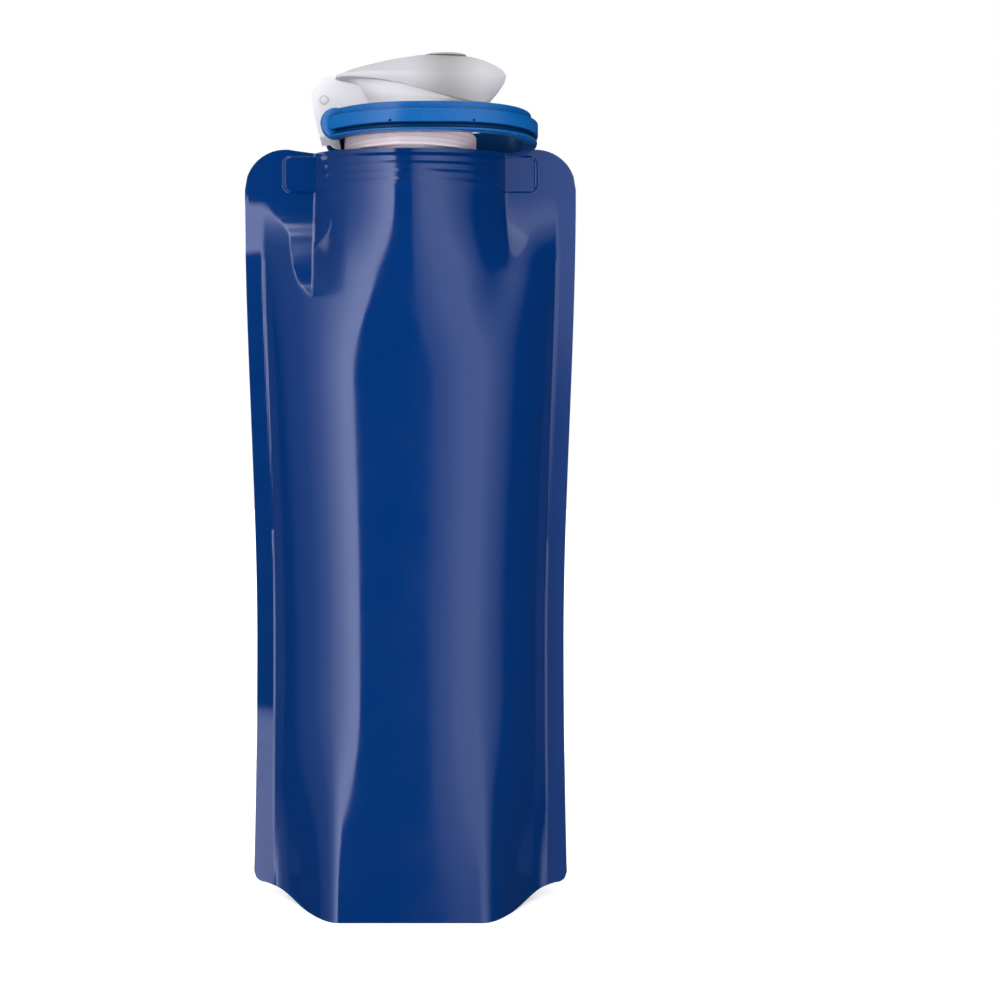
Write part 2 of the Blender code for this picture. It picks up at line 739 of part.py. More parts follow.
def cap_body(material):
    cap = place(cap_shell(), "cap_body", material)
    combine(cap, place(plate("horn", horn_outline(), HORN_HALF_WIDTH), "horn"), "UNION")
    combine(cap, cap_recess())
    combine(cap, spout_tube(), "UNION")
    combine(cap, cylinder("cut_skirt", SKIRT_R, (0, 0, SKIRT_Z - 4), (0, 0, DECK_Z),
                          sides=COLLAR_SIDES))
    cap_thread = thread_ridge("cap_thread", SKIRT_R, SKIRT_R - THREAD_DEPTH,
                              COLLAR_TOP_Z + THREAD_START + THREAD_PITCH / 2, CAP_THREAD_TURNS)
    combine(cap, cap_thread, "UNION")
    combine(cap, spout_bore())
    slot_half = KNUCKLE_HALF_WIDTH + GAP
    combine(cap, block("cut_knuckle_slot",
                       (LID_PIN_X - 8, -slot_half, LID_PIN_Z - KNUCKLE_R - 2 * GAP),
                       (LID_PIN_X + 5.4, slot_half, LID_PIN_Z + 14)))
    combine(cap, cylinder("cut_ear_holes", LID_PIN_R + PIN_PLAY,
                          (LID_PIN_X, -HORN_HALF_WIDTH - 2, LID_PIN_Z),
                          (LID_PIN_X, HORN_HALF_WIDTH + 2, LID_PIN_Z), "Y", 20))
    return cap


# Flip lid
def lid_ring(back, tip, width, z_back, z_tip):
    """One level of the lid: blunt at the hinge, widest near the middle, narrow at the beak."""
    side = [(mix(back, tip, along), width * across, mix(z_back, z_tip, along))
            for along, across in reversed(LID_PLAN)]
    return side + [(x, -y, z) for x, y, z in reversed(side[1:-1])]


def lid_rings():
    """Levels of the lid from its rim to its crown."""
    length = LID_TIP - LID_BACK
    low_back = rim(LID_BACK) + GAP / 2
    low_tip = rim(LID_RIM_FRONT) + GAP / 2
    return [lid_ring(LID_BACK + length * back_in, LID_TIP - length * tip_in,
                     LID_HALF_WIDTH * across,
                     mix(low_back, LID_CROWN, back_up), mix(low_tip, LID_CROWN, tip_up))
            for back_in, tip_in, across, back_up, tip_up in LID_LEVELS]


def flip_lid(material):
    """A hollow beak-shaped lid with a hinge knuckle at its back."""
    rings = lid_rings()
    work = bmesh.new()
    rows = [[work.verts.new(point) for point in ring] for ring in rings]
    for low, high in zip(rows, rows[1:]):
        for i in range(len(low)):
            j = (i + 1) % len(low)
            work.faces.new((low[i], low[j], high[j], high[i]))
    work.faces.new(rows[-1])
    lid = place(finish_mesh(work, "flip_lid"), "flip_lid", material)
    shell = lid.modifiers.new("wall", "SOLIDIFY")
    shell.thickness = LID_WALL * MM
    shell.offset = -1
    shell.use_even_offset = True
    pin = (LID_PIN_X, LID_PIN_Z)
    seat = rim(LID_BACK)
    root = LID_BACK + KNUCKLE_ROOT
    knuckle = arc(pin, KNUCKLE_R, 150, 380, 14)
    knuckle += [(root, seat + 0.8), (root, seat + 0.8 + LID_WALL / 2),
                (LID_BACK - KNUCKLE_R + 0.6, seat - 1.2)]
    combine(lid, place(plate("knuckle", knuckle, KNUCKLE_HALF_WIDTH), "knuckle"), "UNION")
    combine(lid, cylinder("cut_knuckle_hole", LID_PIN_R + PIN_PLAY,
                          (LID_PIN_X, -HORN_HALF_WIDTH - 2, LID_PIN_Z),
                          (LID_PIN_X, HORN_HALF_WIDTH + 2, LID_PIN_Z), "Y", 20))
    combine(lid, cylinder("cut_plug_hole", PLUG_STEM_R + GAP, (SPOUT_X, 0, LID_CROWN - 6),
                          (SPOUT_X, 0, LID_CROWN + 6), sides=20))
    head = [oval(SPOUT_X - PLUG_HEAD_LENGTH / 2 - GAP, SPOUT_X + PLUG_HEAD_LENGTH / 2 + GAP,
                 PLUG_HEAD_WIDTH / 2 + GAP, lambda x, z=z: z, 24)
            for z in (LID_CROWN - SEAT_DEPTH, LID_CROWN + 5)]
    combine(lid, place(loft("cut_plug_seat", head), "cut_plug_seat"))
    return lid


def lid_plug(material):
    """Grey plug: an oval head on the lid, and a body with a nipple that seals the spout."""
    under = LID_CROWN - LID_WALL - GAP - 0.25
    nipple_z = SPOUT_TOP + GAP
    seat = LID_CROWN - SEAT_DEPTH + GAP
    tip = nipple_z - PLUG_NIPPLE_LENGTH
    profile = [(0, seat + 0.4), (PLUG_STEM_R, seat + 0.4), (PLUG_STEM_R, under),
               (PLUG_BODY_R - 2.2, under - 1.0), (PLUG_BODY_R, under - 4.0),
               (PLUG_BODY_R - 0.3, nipple_z), (PLUG_NIPPLE_R, nipple_z),
               (PLUG_NIPPLE_R - 0.5, tip), (0, tip)]
    body = turned("plug_body", profile, 28, None, (SPOUT_X, 0))
    half_length = PLUG_HEAD_LENGTH / 2
    half_width_y = PLUG_HEAD_WIDTH / 2
    rise = PLUG_TOP - seat
    levels = [(0.94, 0.0), (1.0, 0.3), (0.93, 0.62), (0.72, 0.88), (0.4, 1.0)]
    rings = [oval(SPOUT_X - half_length * share, SPOUT_X + half_length * share,
                  half_width_y * share, lambda x, z=seat + rise * level: z, 24)
             for share, level in levels]
    plug = place(loft("lid_plug", rings), "lid_plug", material)
    combine(plug, body, "UNION")
    return plug


def lid_hinge_pin(material):
    end = HORN_HALF_WIDTH + 0.3
    return cylinder("lid_hinge_pin", LID_PIN_R, (LID_PIN_X, -end, LID_PIN_Z),
                    (LID_PIN_X, end, LID_PIN_Z), "Y", 20, material)


# Carabiner
def loop_point(share):
    """Inner edge of the loop in plan: 0 at the hinge end, 1 at the far end."""
    if share < LOOP_LEFT:
        x = mix(HOOK_X, LOOP_WIDEST_X, share / LOOP_LEFT)
        fall = ((LOOP_WIDEST_X - x) / (LOOP_WIDEST_X - HOOK_X)) ** 3
        return x, mix(LOOP_HALF_WIDTH, LOOP_END_HALF_WIDTH, fall)
    angle = (share - LOOP_LEFT) / (1 - LOOP_LEFT) * math.pi / 2
    power = 2 / LOOP_SQUARENESS
    x = LOOP_WIDEST_X + (LOOP_REACH - LOOP_WIDEST_X) * max(math.sin(angle), 0.0) ** power
    return x, LOOP_HALF_WIDTH * max(math.cos(angle), 0.0) ** power


def leg_section():
    """Stepped section of the leg, as (outward, up) from the loop's inner edge."""
    shallow = LEG_THICK - LEG_STEP
    height = LEG_HALF_HEIGHT
    return [(0, -height), (0, height), (shallow, height), (shallow, 0.46 * height),
            (LEG_THICK, 0.4 * height), (LEG_THICK, -0.48 * height), (shallow, -0.54 * height),
            (shallow, -0.8 * height), (LEG_THICK - 0.3, -0.85 * height), (LEG_THICK - 0.3, -height)]


def sweep_leg(name, path):
    """Carry the leg's section along a path in plan, square to it."""
    rings = []
    for i, (x, y) in enumerate(path):
        ahead = path[min(i + 1, len(path) - 1)]
        behind = path[max(i - 1, 0)]
        run = Vector((ahead[0] - behind[0], ahead[1] - behind[1])).normalized()
        out = Vector((run.y, -run.x))
        rings.append([(x + out.x * n, y + out.y * n, HOOK_Z + z) for n, z in leg_section()])
    return loft(name, rings)


def loop_share(x):
    """Share of the path on its left part at which the loop has this x."""
    return LOOP_LEFT * (x - HOOK_X) / (LOOP_WIDEST_X - HOOK_X)


def nose_share(x):
    """Share of the path on its right part at which the loop has this x."""
    across = ((x - LOOP_WIDEST_X) / (LOOP_REACH - LOOP_WIDEST_X)) ** (LOOP_SQUARENESS / 2)
    return LOOP_LEFT + (1 - LOOP_LEFT) * math.asin(across) / (math.pi / 2)


def carabiner_frame(material):
    """Loop with a solid front leg; the back leg is open between its root and its nose."""
    front = [(x, -y) for x, y in (loop_point(i / 20) for i in range(20))]
    front += [(LOOP_REACH, -LOOP_FLAT), (LOOP_REACH, LOOP_FLAT)]
    nose = nose_share(GATE_TIP_X)
    back = [loop_point(mix(0.95, nose, i / 6)) for i in range(7)]
    frame = place(sweep_leg("carabiner_frame", front + back), "carabiner_frame", material)
    root = loop_share(GATE_ROOT_X)
    arm_path = [loop_point(mix(root, 0.0, i / 7)) for i in range(8)]
    arm = place(sweep_leg("gate_arm", arm_path), "gate_arm")
    combine(frame, arm, "UNION")
    for side, word in ((-1, "front"), (1, "back")):
        eye = cylinder("eye_" + word, EYE_R,
                       (HOOK_X, side * (LOOP_END_HALF_WIDTH + 0.2), HOOK_Z),
                       (HOOK_X, side * (LOOP_END_HALF_WIDTH + LEG_THICK - 0.6), HOOK_Z), "Y", 28)
        combine(frame, eye, "UNION")
    bar = cylinder("cross_bar", BAR_R, (HOOK_X, -LOOP_END_HALF_WIDTH - 2, HOOK_Z),
                   (HOOK_X, LOOP_END_HALF_WIDTH + 2, HOOK_Z), "Y", 20)
    combine(frame, bar, "UNION")
    for up, word in ((-1, "low"), (1, "high")):
        near = HOOK_Z + up * BLOCK_HALF_HEIGHT
        far = HOOK_Z + up * (LEG_HALF_HEIGHT + 3)
        hole_x = gate_hole_x(up)
        combine(frame, block("cut_root_" + word,
                             (hole_x - WIRE_R - 1.2, GATE_ROOT_Y - CUT_REACH, min(near, far)),
                             (GATE_ROOT_X + 3, GATE_ROOT_Y + CUT_REACH, max(near, far))))
        combine(frame, block("cut_nose_" + word,
                             (GATE_TIP_X - 4, GATE_TIP_Y - CUT_REACH, min(near, far)),
                             (GATE_TIP_X + NOSE_OVERLAP + 2 * WIRE_R, GATE_TIP_Y + CUT_REACH,
                              max(near, far))))
        combine(frame, cylinder("cut_wire_hole_" + word, WIRE_R + PIN_PLAY,
                                (hole_x, GATE_ROOT_Y, HOOK_Z + up * (BLOCK_HALF_HEIGHT - 1.9)),
                                (hole_x, GATE_ROOT_Y, HOOK_Z + up * (BLOCK_HALF_HEIGHT + 2)),
                                "Z", 14))
    catch = GATE_TIP_Y + WIRE_R + GAP
    combine(frame, block("cut_catch",
                         (GATE_TIP_X - 4, catch - CUT_REACH, HOOK_Z - LEG_HALF_HEIGHT - 3),
                         (GATE_TIP_X + NOSE_OVERLAP + 2 * WIRE_R, catch,
                          HOOK_Z + LEG_HALF_HEIGHT + 3)))
    return frame


def gate_hole_x(up):
    """The two ends of the wire enter the root at staggered places."""
    return GATE_ROOT_X - WIRE_R - 1.8 - (GATE_HOLE_STEP if up > 0 else 0.0)


def wire_gate(material):
    """Bent wire: two legs joined by a bow that rests behind the nose."""
    level = BLOCK_HALF_HEIGHT + GAP + WIRE_R
    tip_x = GATE_TIP_X + NOSE_OVERLAP
    bend = 1.8

    def leg(up):
        hole = gate_hole_x(up)
        start = [(hole, GATE_ROOT_Y, up * (BLOCK_HALF_HEIGHT - 1.5)),
                 (hole, GATE_ROOT_Y, up * (level - 0.9)),
                 (hole + 0.3, GATE_ROOT_Y, up * (level - 0.3)),
                 (hole + 0.9, GATE_ROOT_Y, up * level)]
        run = []
        for share in (0.25, 0.5, 0.75, 1.0):
            run.append((mix(hole + 0.9, tip_x - bend, share), mix(GATE_ROOT_Y, GATE_TIP_Y, share),
                        up * level))
        corner = []
        for angle in (22.5, 45, 67.5, 90):
            turn = math.radians(angle)
            corner.append((tip_x - bend + bend * math.sin(turn), GATE_TIP_Y,
                           up * (level - bend + bend * math.cos(turn))))
        return start + run + corner

    top = leg(1)
    low = leg(-1)
    points = top + list(reversed(low))
    curve = bpy.data.curves.new("wire_gate", "CURVE")
    curve.dimensions = "3D"
    spline = curve.splines.new("POLY")
    spline.points.add(len(points) - 1)
    anchor = gate_anchor()
    for slot, (x, y, z) in zip(spline.points, points):
        slot.co = ((x - anchor[0]) * MM, (y - anchor[1]) * MM, (HOOK_Z + z - anchor[2]) * MM, 1)
    curve.bevel_depth = WIRE_R * MM
    curve.bevel_resolution = 2
    curve.use_fill_caps = True
    wire = place(curve, "wire_gate", material)
    wire.location = [value * MM for value in anchor]
    return wire


def gate_anchor():
    """Middle of the gate's own hinge line, between its two staggered ends."""
    return ((gate_hole_x(1) + gate_hole_x(-1)) / 2, GATE_ROOT_Y, HOOK_Z)


def move_origin(item, point):
    """Put an object's origin on its joint axis and leave its shape where it is."""
    shift = Vector([value * MM for value in point]) - item.location
    item.data.transform(Matrix.Translation(-shift))
    item.location = item.location + shift


clear_scene()
PIECES = collection(NAME)
CUTTERS = collection("cutters")
LID_PIN = (LID_PIN_X, 0.0, LID_PIN_Z)
HOOK = (HOOK_X, 0.0, HOOK_Z)
film_blue = plastic("film_blue", (0.004, 0.036, 0.165), 0.16)
frosted = plastic("frosted_plastic", (0.86, 0.86, 0.88), 0.35, alpha=0.6, transmission=0.4)
collar_pink = plastic("collar_plastic", (0.83, 0.70, 0.73), 0.3)
carabiner_blue = plastic("carabiner_blue", (0.0, 0.085, 0.33), 0.32)
seal_peach = plastic("seal_silicone", (0.85, 0.36, 0.27), 0.5)
plug_grey = plastic("plug_rubber", (0.40, 0.39, 0.36), 0.55)
steel = plastic("wire_steel", (0.62, 0.60, 0.57), 0.25, metal=1.0)

EDGE_CUTTERS = edge_cutters()
side_film("front_film", -1, film_blue)
side_film("back_film", 1, film_blue)
bottom_gusset(film_blue)
spout_fitment(collar_pink)
cap_gasket(seal_peach)
cap_body(frosted)
move_origin(flip_lid(frosted), LID_PIN)
move_origin(lid_plug(plug_grey), LID_PIN)
lid_hinge_pin(frosted)
move_origin(carabiner_frame(carabiner_blue), HOOK)
wire_gate(steel)
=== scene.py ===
"""Looks of the collapsible water bottle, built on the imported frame.

Lengths are in millimetres and are turned into metres where a mesh is made.
"""

from math import asin, copysign, cos, exp, hypot, pi, radians, sin, sqrt, tau

import bmesh
import bpy
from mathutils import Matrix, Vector


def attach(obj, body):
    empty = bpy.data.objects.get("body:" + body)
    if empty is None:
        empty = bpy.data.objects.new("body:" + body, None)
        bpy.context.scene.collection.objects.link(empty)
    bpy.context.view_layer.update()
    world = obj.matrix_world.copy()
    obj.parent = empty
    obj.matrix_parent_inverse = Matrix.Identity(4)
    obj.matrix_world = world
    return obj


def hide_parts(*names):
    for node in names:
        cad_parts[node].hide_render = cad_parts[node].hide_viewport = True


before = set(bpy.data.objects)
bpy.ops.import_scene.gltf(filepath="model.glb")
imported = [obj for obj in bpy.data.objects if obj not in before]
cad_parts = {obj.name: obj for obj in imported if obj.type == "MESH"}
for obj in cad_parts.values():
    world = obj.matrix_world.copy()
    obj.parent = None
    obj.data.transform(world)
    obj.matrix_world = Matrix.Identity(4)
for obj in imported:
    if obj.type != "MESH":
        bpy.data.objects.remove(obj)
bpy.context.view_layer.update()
MM = 0.001

# Sizes of the pouch, as in the CAD
FILM = 0.5
GAP = 0.3
POUCH_HEIGHT = 269.0
SHOULDER_HALF_WIDTH = 59.5
WAIST_HALF_WIDTH = 55.1
FOOT_HALF_WIDTH = 56.2
WAIST_HEIGHT = 92.0
SIDE_SEAL = 7.0
TOP_SEAL = 16.0
FOOT_SEAL = 7.2
TOP_CORNER_R = 14.5
FOOT_CORNER_R = 4.0
CORNER_LIFT = 6.5
CHEST_HALF_DEPTH = 24.5
BELLY_HALF_DEPTH = 28.5
FOOT_HALF_DEPTH = 28.3
CHEST_HEIGHT = 205.0
FLAT_TOP = 185.0
SHOULDER_START = 222.0
SHOULDER_FADE = 18.0
FLANK_POWER = 3.8
FOOT_BLEND = 75.0
GUSSET_FOLD = 45.0
GUSSET_FLOOR = 1.4
BOAT_HALF_LENGTH = 34.0
BOAT_HALF_DEPTH = 20.9
BOAT_DIP = 3.5
WING_ROOM = 8.5
WING_THICK = 1.2
WING_MARGIN = 2.0
RIBS = 4
RIB_HEIGHT = 0.5
BAND_Z = POUCH_HEIGHT - TOP_SEAL
WING_END = SHOULDER_HALF_WIDTH - SIDE_SEAL - WING_ROOM
WING_HALF_HEIGHT = TOP_SEAL / 2 - WING_MARGIN - 1
TRIM_START = BAND_Z - 10
WING_Z = BAND_Z + WING_MARGIN + WING_HALF_HEIGHT
WING_CORNER = 1.2
WING_PRINT = 2.3
WING_STEP = 0.6
VALLEY_LENGTH = 40.0
VALLEY_END = BAND_Z - 45
VALLEY_OUT = 51.0
VALLEY_TILT = 0.02
VALLEY_FADE = 12.0
VALLEY_SHELF = 7.0
VALLEY_DRAW = 5.0
VALLEY_TIP = 7.0
SLACK = 0.28
SLACK_X = 38.0
SLACK_WIDTH = 8.0
SLACK_DRIFT = 10.0
SLACK_LENGTH = 62.0
WELD_LOW = 233.0
WELD_HIGH = 249.0
WELD_BEND = 1.0
FOOT_BEND = 0.65
FOOT_BEND_TOP = 64.0
RIGHT_BEND = 0.42
RIGHT_BEND_TOP = CHEST_HEIGHT - 40
KNURL_PITCH = 1.06
KNURL_DEPTH = 0.006

# Sizes of the collar, neck and thread, as in the CAD
COLLAR_BASE_R = 20.3
COLLAR_R = 23.7
COLLAR_STAND = 1.0
FLANGE_HEIGHT = 6.6
GROOVE_R = 20.4
GROOVE_HEIGHT = 0.7
RING_R = 22.7
RING_HEIGHT = 2.4
BAND_PITCH = 1.6
NECK_R = 13.9
NECK_WALL = 1.9
NECK_HEIGHT = 7.1
THREAD_PITCH = 3.5
THREAD_DEPTH = 1.1
THREAD_ROOT = 1.7
THREAD_CREST = 0.9
THREAD_TURNS = 1.25
CAP_THREAD_TURNS = 0.9
THREAD_START = 1.7
THREAD_PLAY = 0.5
THREAD_PHASE = 4.0
COLLAR_Z = POUCH_HEIGHT - BOAT_DIP + COLLAR_STAND
GROOVE_Z = COLLAR_Z + FLANGE_HEIGHT
COLLAR_TOP_Z = GROOVE_Z + GROOVE_HEIGHT + RING_HEIGHT
NECK_TOP_Z = COLLAR_TOP_Z + NECK_HEIGHT
BORE_R = NECK_R - NECK_WALL

# Sizes of the gasket and the cap, as in the CAD
GASKET_R = 20.0
GASKET_THICK = 1.7
CAP_R = 17.0
DECK = 1.6
CAP_TOP_HALF_WIDTH = 12.2
CAP_BACK = 23.5
CAP_FRONT = 20.5
RIM_RISE = 5.5
RIM_BACK_RISE = 3.9
RIM_FRONT_DROP = 4.4
RIM_WAVE = 0.8
WAVE_REACH = 8.0
LID_FIT = 0.05
BOWL_WALL = 1.5
SPOUT_GAP = 1.5
SPOUT_R = 4.9
SPOUT_BORE_R = 3.6
SPOUT_RISE = 6.0
SPOUT_LEAN = 3.0
HORN_HALF_WIDTH = 8.0
PIN_OUT = 7.1
PIN_RISE = 1.2
LID_PIN_R = 1.4
PIN_PLAY = 0.2
KNUCKLE_HALF_WIDTH = 4.3
KNUCKLE_R = 3.2
KNUCKLE_ROOT = 1.0
HOOK_STEP = 4.5
HOOK_LIP = 1.6
MOUTH_TOP = 30
MOUTH_LOW = 280
SKIRT_Z = COLLAR_TOP_Z + GASKET_THICK + 2 * GAP
DECK_Z = NECK_TOP_Z + 2 * GAP
RIM_HEIGHT = DECK_Z + RIM_RISE
SPOUT_TOP = DECK_Z + SPOUT_RISE
SPOUT_X = CAP_FRONT - BOWL_WALL - SPOUT_GAP - SPOUT_R
SKIRT_R = NECK_R + THREAD_DEPTH + THREAD_PLAY
LID_PIN_X = -CAP_BACK - PIN_OUT
LID_PIN_Z = DECK_Z + PIN_RISE

# Sizes of the lid and its plug, as in the CAD
LID_WALL = 1.4
LID_HALF_WIDTH = 12.6
LID_STEP = 4.4
LID_TIP = 34.6
LID_RIM_FRONT = 27.3
LID_RISE = 13.5
SEAT_DEPTH = 0.6
PLUG_HEAD_LENGTH = 15.0
PLUG_HEAD_WIDTH = 8.6
PLUG_PROUD = 0.7
PLUG_BODY_R = 5.6
PLUG_STEM_R = 2.4
PLUG_NIPPLE_R = 3.1
PLUG_NIPPLE_LENGTH = 3.4
LID_BACK = LID_PIN_X + LID_STEP
LID_CROWN = RIM_HEIGHT + LID_RISE
PLUG_TOP = LID_CROWN + PLUG_PROUD
LID_PLAN = [(0.0, 0.0), (0.0, 0.45), (0.01, 0.66), (0.05, 0.79), (0.13, 0.89), (0.24, 0.97),
            (0.36, 1.0), (0.48, 0.98), (0.62, 0.90), (0.75, 0.77), (0.86, 0.60), (0.94, 0.43),
            (0.985, 0.28), (1.0, 0.15), (1.0, 0.0)]
LID_LEVELS = [(0.0, 0.12, 0.976, 0.0, 0.0), (-0.007, 0.056, 1.016, 0.04, 0.25),
              (-0.002, 0.012, 1.0, 0.07, 0.48), (0.043, 0.004, 0.889, 0.19, 0.585),
              (0.151, 0.040, 0.683, 0.46, 0.725), (0.299, 0.14, 0.444, 0.74, 0.895),
              (0.464, 0.24, 0.254, 0.95, 0.984)]
LID_CREASE = 3

# Sizes of the carabiner and its gate, as in the CAD
LOOP_CLEARANCE = 1.9
LOOP_REST = 1.05
LOOP_REACH = 40.3
LOOP_FLAT = 2.2
LOOP_WIDEST_X = 8.0
LOOP_LEFT = 0.42
LOOP_SQUARENESS = 2.55
ARM_END = 0.011
LOOP_END_HALF_WIDTH = 12.2
LEG_THICK = 5.4
LEG_STEP = 2.4
LEG_HALF_HEIGHT = 5.05
BAR_R = 2.4
EYE_R = 5.3
DIMPLES = (-6.9, 21.6)
DIMPLE_R = 0.45
DIMPLE_RISE = -1.9
GATE_ROOT_X = -10.5
GATE_TIP_X = 17.0
GATE_ROOT_OUT = 1.0
GATE_TIP_OUT = 2.0
GATE_HOLE_STEP = 4.0
BLOCK_HALF_HEIGHT = 3.2
WIRE_R = 0.8
WIRE_PLAY = 0.32
NOSE_OVERLAP = 5.0
CUT_REACH = 12.0
HOOK_X = LID_PIN_X + HOOK_STEP
HOOK_Z = POUCH_HEIGHT + LOOP_REST + LEG_HALF_HEIGHT
HOOK_R = BAR_R + GAP
LOOP_HALF_WIDTH = COLLAR_R + LOOP_CLEARANCE
GATE_ROOT_Y = LOOP_HALF_WIDTH + GATE_ROOT_OUT
GATE_TIP_Y = LOOP_HALF_WIDTH + GATE_TIP_OUT

# Camera, as the photograph's perspective gives it
EYE_DISTANCE = 0.540
EYE_HEIGHT = 0.161
LENS_MM = 54.0
AXIS_SHIFT = 0.0896
HORIZON_SHIFT = -0.05


def smooth(value):
    value = min(max(value, 0.0), 1.0)
    return value * value * (3 - 2 * value)


def mix(low, high, share):
    return low + (high - low) * share


def spread(low, high, count):
    """Evenly spaced values from low to high, both included."""
    return [mix(low, high, i / count) for i in range(count + 1)]


# Shape of the filled pouch, the same as the CAD's, with finer folds
def half_width(z):
    if z > WAIST_HEIGHT:
        return mix(WAIST_HALF_WIDTH, SHOULDER_HALF_WIDTH,
                   smooth((z - WAIST_HEIGHT) / (BAND_Z - WAIST_HEIGHT)))
    share = (WAIST_HEIGHT - z) / WAIST_HEIGHT
    return mix(WAIST_HALF_WIDTH, FOOT_HALF_WIDTH, share * share)


def half_depth(z):
    if z > WAIST_HEIGHT:
        return mix(BELLY_HALF_DEPTH, CHEST_HALF_DEPTH,
                   smooth((z - WAIST_HEIGHT) / (CHEST_HEIGHT - WAIST_HEIGHT)))
    return mix(FOOT_HALF_DEPTH, BELLY_HALF_DEPTH, smooth(z / WAIST_HEIGHT))


def lens(x, half_chord, depth):
    if abs(x) >= half_chord:
        return 0.0
    radius = (half_chord ** 2 + depth ** 2) / (2 * depth)
    return sqrt(radius ** 2 - x ** 2) - (radius - depth)


def foot_section(x, half_chord, depth):
    return depth * smooth((0.98 - abs(x) / half_chord) / 0.48)


def flat_section(x, half_chord, depth):
    """The filled body: nearly flat in front, with flanks that turn in to the seals."""
    share = abs(x) / half_chord
    return depth * (1 - share ** FLANK_POWER) if share < 1 else 0.0


def seal_half_gap(z):
    layers = 1 - smooth((z - GUSSET_FOLD) / (2 * FOOT_SEAL))
    return GAP / 2 + (FILM + GAP) * layers


def filled_face(x, z):
    """Half the depth of the filled pouch between its seals."""
    chord = half_width(z) - SIDE_SEAL
    depth = half_depth(z)
    foot = 1 - smooth(z / FOOT_BLEND)
    flat = 1 - smooth((z - FLAT_TOP) / (SHOULDER_START + SHOULDER_FADE - FLAT_TOP))
    body = mix(lens(x, chord, depth), flat_section(x, chord, depth), flat)
    body = mix(body, foot_section(x, chord, depth), foot)
    boat = lens(x, BOAT_HALF_LENGTH, BOAT_HALF_DEPTH - GAP / 2)
    return mix(body, boat, smooth((z - SHOULDER_START) / (BAND_Z - SHOULDER_START)))


def valley(x, z):
    """How far the film sinks left of the boat: a tongue of flat film with a clear edge."""
    fall = (BAND_Z - z) / VALLEY_LENGTH
    left = -VALLEY_OUT + VALLEY_SHELF * smooth((fall - 0.1) / 0.3)
    left += VALLEY_DRAW * fall ** 2 + VALLEY_TIP * fall ** 10
    right = -BOAT_HALF_LENGTH
    if not 0 < fall < 1 or left >= right or x <= left:
        return 0.0
    spot = min(x, right)
    floor_y = filled_face(left, z) + VALLEY_TILT * (spot - left)
    sink = max(filled_face(spot, z) - floor_y, 0.0)
    return sink * (1 - smooth((x - right) / VALLEY_FADE))


def slack(x, z):
    """Share by which the film lies flatter right of the boat."""
    fall = (BAND_Z - z) / SLACK_LENGTH
    across = (x - SLACK_X + SLACK_DRIFT * fall) / SLACK_WIDTH
    return SLACK * (1 - smooth(fall)) * exp(-across * across) if fall > 0 else 0.0


def bend(x, z):
    """How far the left seal's edge leans back at the weld and foot, the right one forward."""
    out = max(abs(x) - half_width(z) + SIDE_SEAL, 0.0) / SIDE_SEAL
    if x > 0:
        return -RIGHT_BEND * out * (1 - smooth((z - RIGHT_BEND_TOP) / 60))
    weld = smooth((z - WELD_LOW + 3) / 5) * (1 - smooth((z - WELD_HIGH + 2) / 5))
    return out * (WELD_BEND * weld + FOOT_BEND * (1 - smooth((z - FOOT_BEND_TOP) / 8)))


def rib(z, top):
    share = (z - BAND_Z) / (top - BAND_Z) * (2 * RIBS + 1)
    return max(0.0, 1 - abs(share % 2 - 1)) if 0 < share < 2 * RIBS else 0.0


def band_top(x):
    share = min(abs(x) / WING_END, 1.0)
    return POUCH_HEIGHT - BOAT_DIP * (1 - share * share)


def inner_face(x, z):
    bulge = max(filled_face(x, z) * (1 - slack(x, z)) - valley(x, z), 0.0)
    out = max(abs(x) - WING_END + WING_CORNER, 0.0)
    up = max(abs(z - WING_Z) - WING_HALF_HEIGHT + WING_CORNER, 0.0)
    edge = smooth((hypot(out, up) - WING_PRINT) / WING_STEP)
    bulge = max(bulge, (WING_THICK + GAP) / 2 * (1 - edge))
    if z > BAND_Z:
        fade = smooth((BOAT_HALF_LENGTH - abs(x)) / 2)
        bulge += RIB_HEIGHT * fade * rib(z, band_top(x))
    return seal_half_gap(z) + bulge


def slope_factor(x, z):
    """How much deeper the film's thickness reaches where it slopes across."""
    step = 0.4
    return hypot(1, (inner_face(x + step, z) - inner_face(x - step, z)) / (2 * step))


def lift(x, row):
    start = 0.62 * FOOT_HALF_WIDTH
    corner = smooth((abs(x) - start) / (FOOT_HALF_WIDTH - start))
    return CORNER_LIFT * corner * max(0.0, 1 - row / FOOT_BLEND)


def top_edge(x):
    """The die-cut top edge, with its rounded corners."""
    centre = SHOULDER_HALF_WIDTH - TOP_CORNER_R
    out = abs(x) - centre
    if out <= 0:
        return band_top(x)
    return POUCH_HEIGHT - TOP_CORNER_R + sqrt(max(TOP_CORNER_R ** 2 - out ** 2, 0.0))


def foot_edge(x):
    """The die-cut foot edge, with its small rounded corners."""
    centre = FOOT_HALF_WIDTH - FOOT_CORNER_R
    out = min(abs(x) - centre, FOOT_CORNER_R)
    low = lift(centre, 0)
    if out <= 0:
        return min(lift(x, 0), low)
    return low + FOOT_CORNER_R - sqrt(max(FOOT_CORNER_R ** 2 - out ** 2, 0.0))


def film_height(x, row):
    """Height of a point of the film: rows are squeezed where the edge is trimmed."""
    if row > TRIM_START:
        if abs(x) > SHOULDER_HALF_WIDTH - TOP_CORNER_R:
            return mix(TRIM_START, top_edge(x), (row - TRIM_START) / (POUCH_HEIGHT - TRIM_START))
        return mix(BAND_Z, band_top(x), (row - BAND_Z) / TOP_SEAL) if row > BAND_Z else row
    if row < FOOT_SEAL:
        return mix(foot_edge(x), FOOT_SEAL + lift(x, FOOT_SEAL), row / FOOT_SEAL)
    return row + lift(x, row)


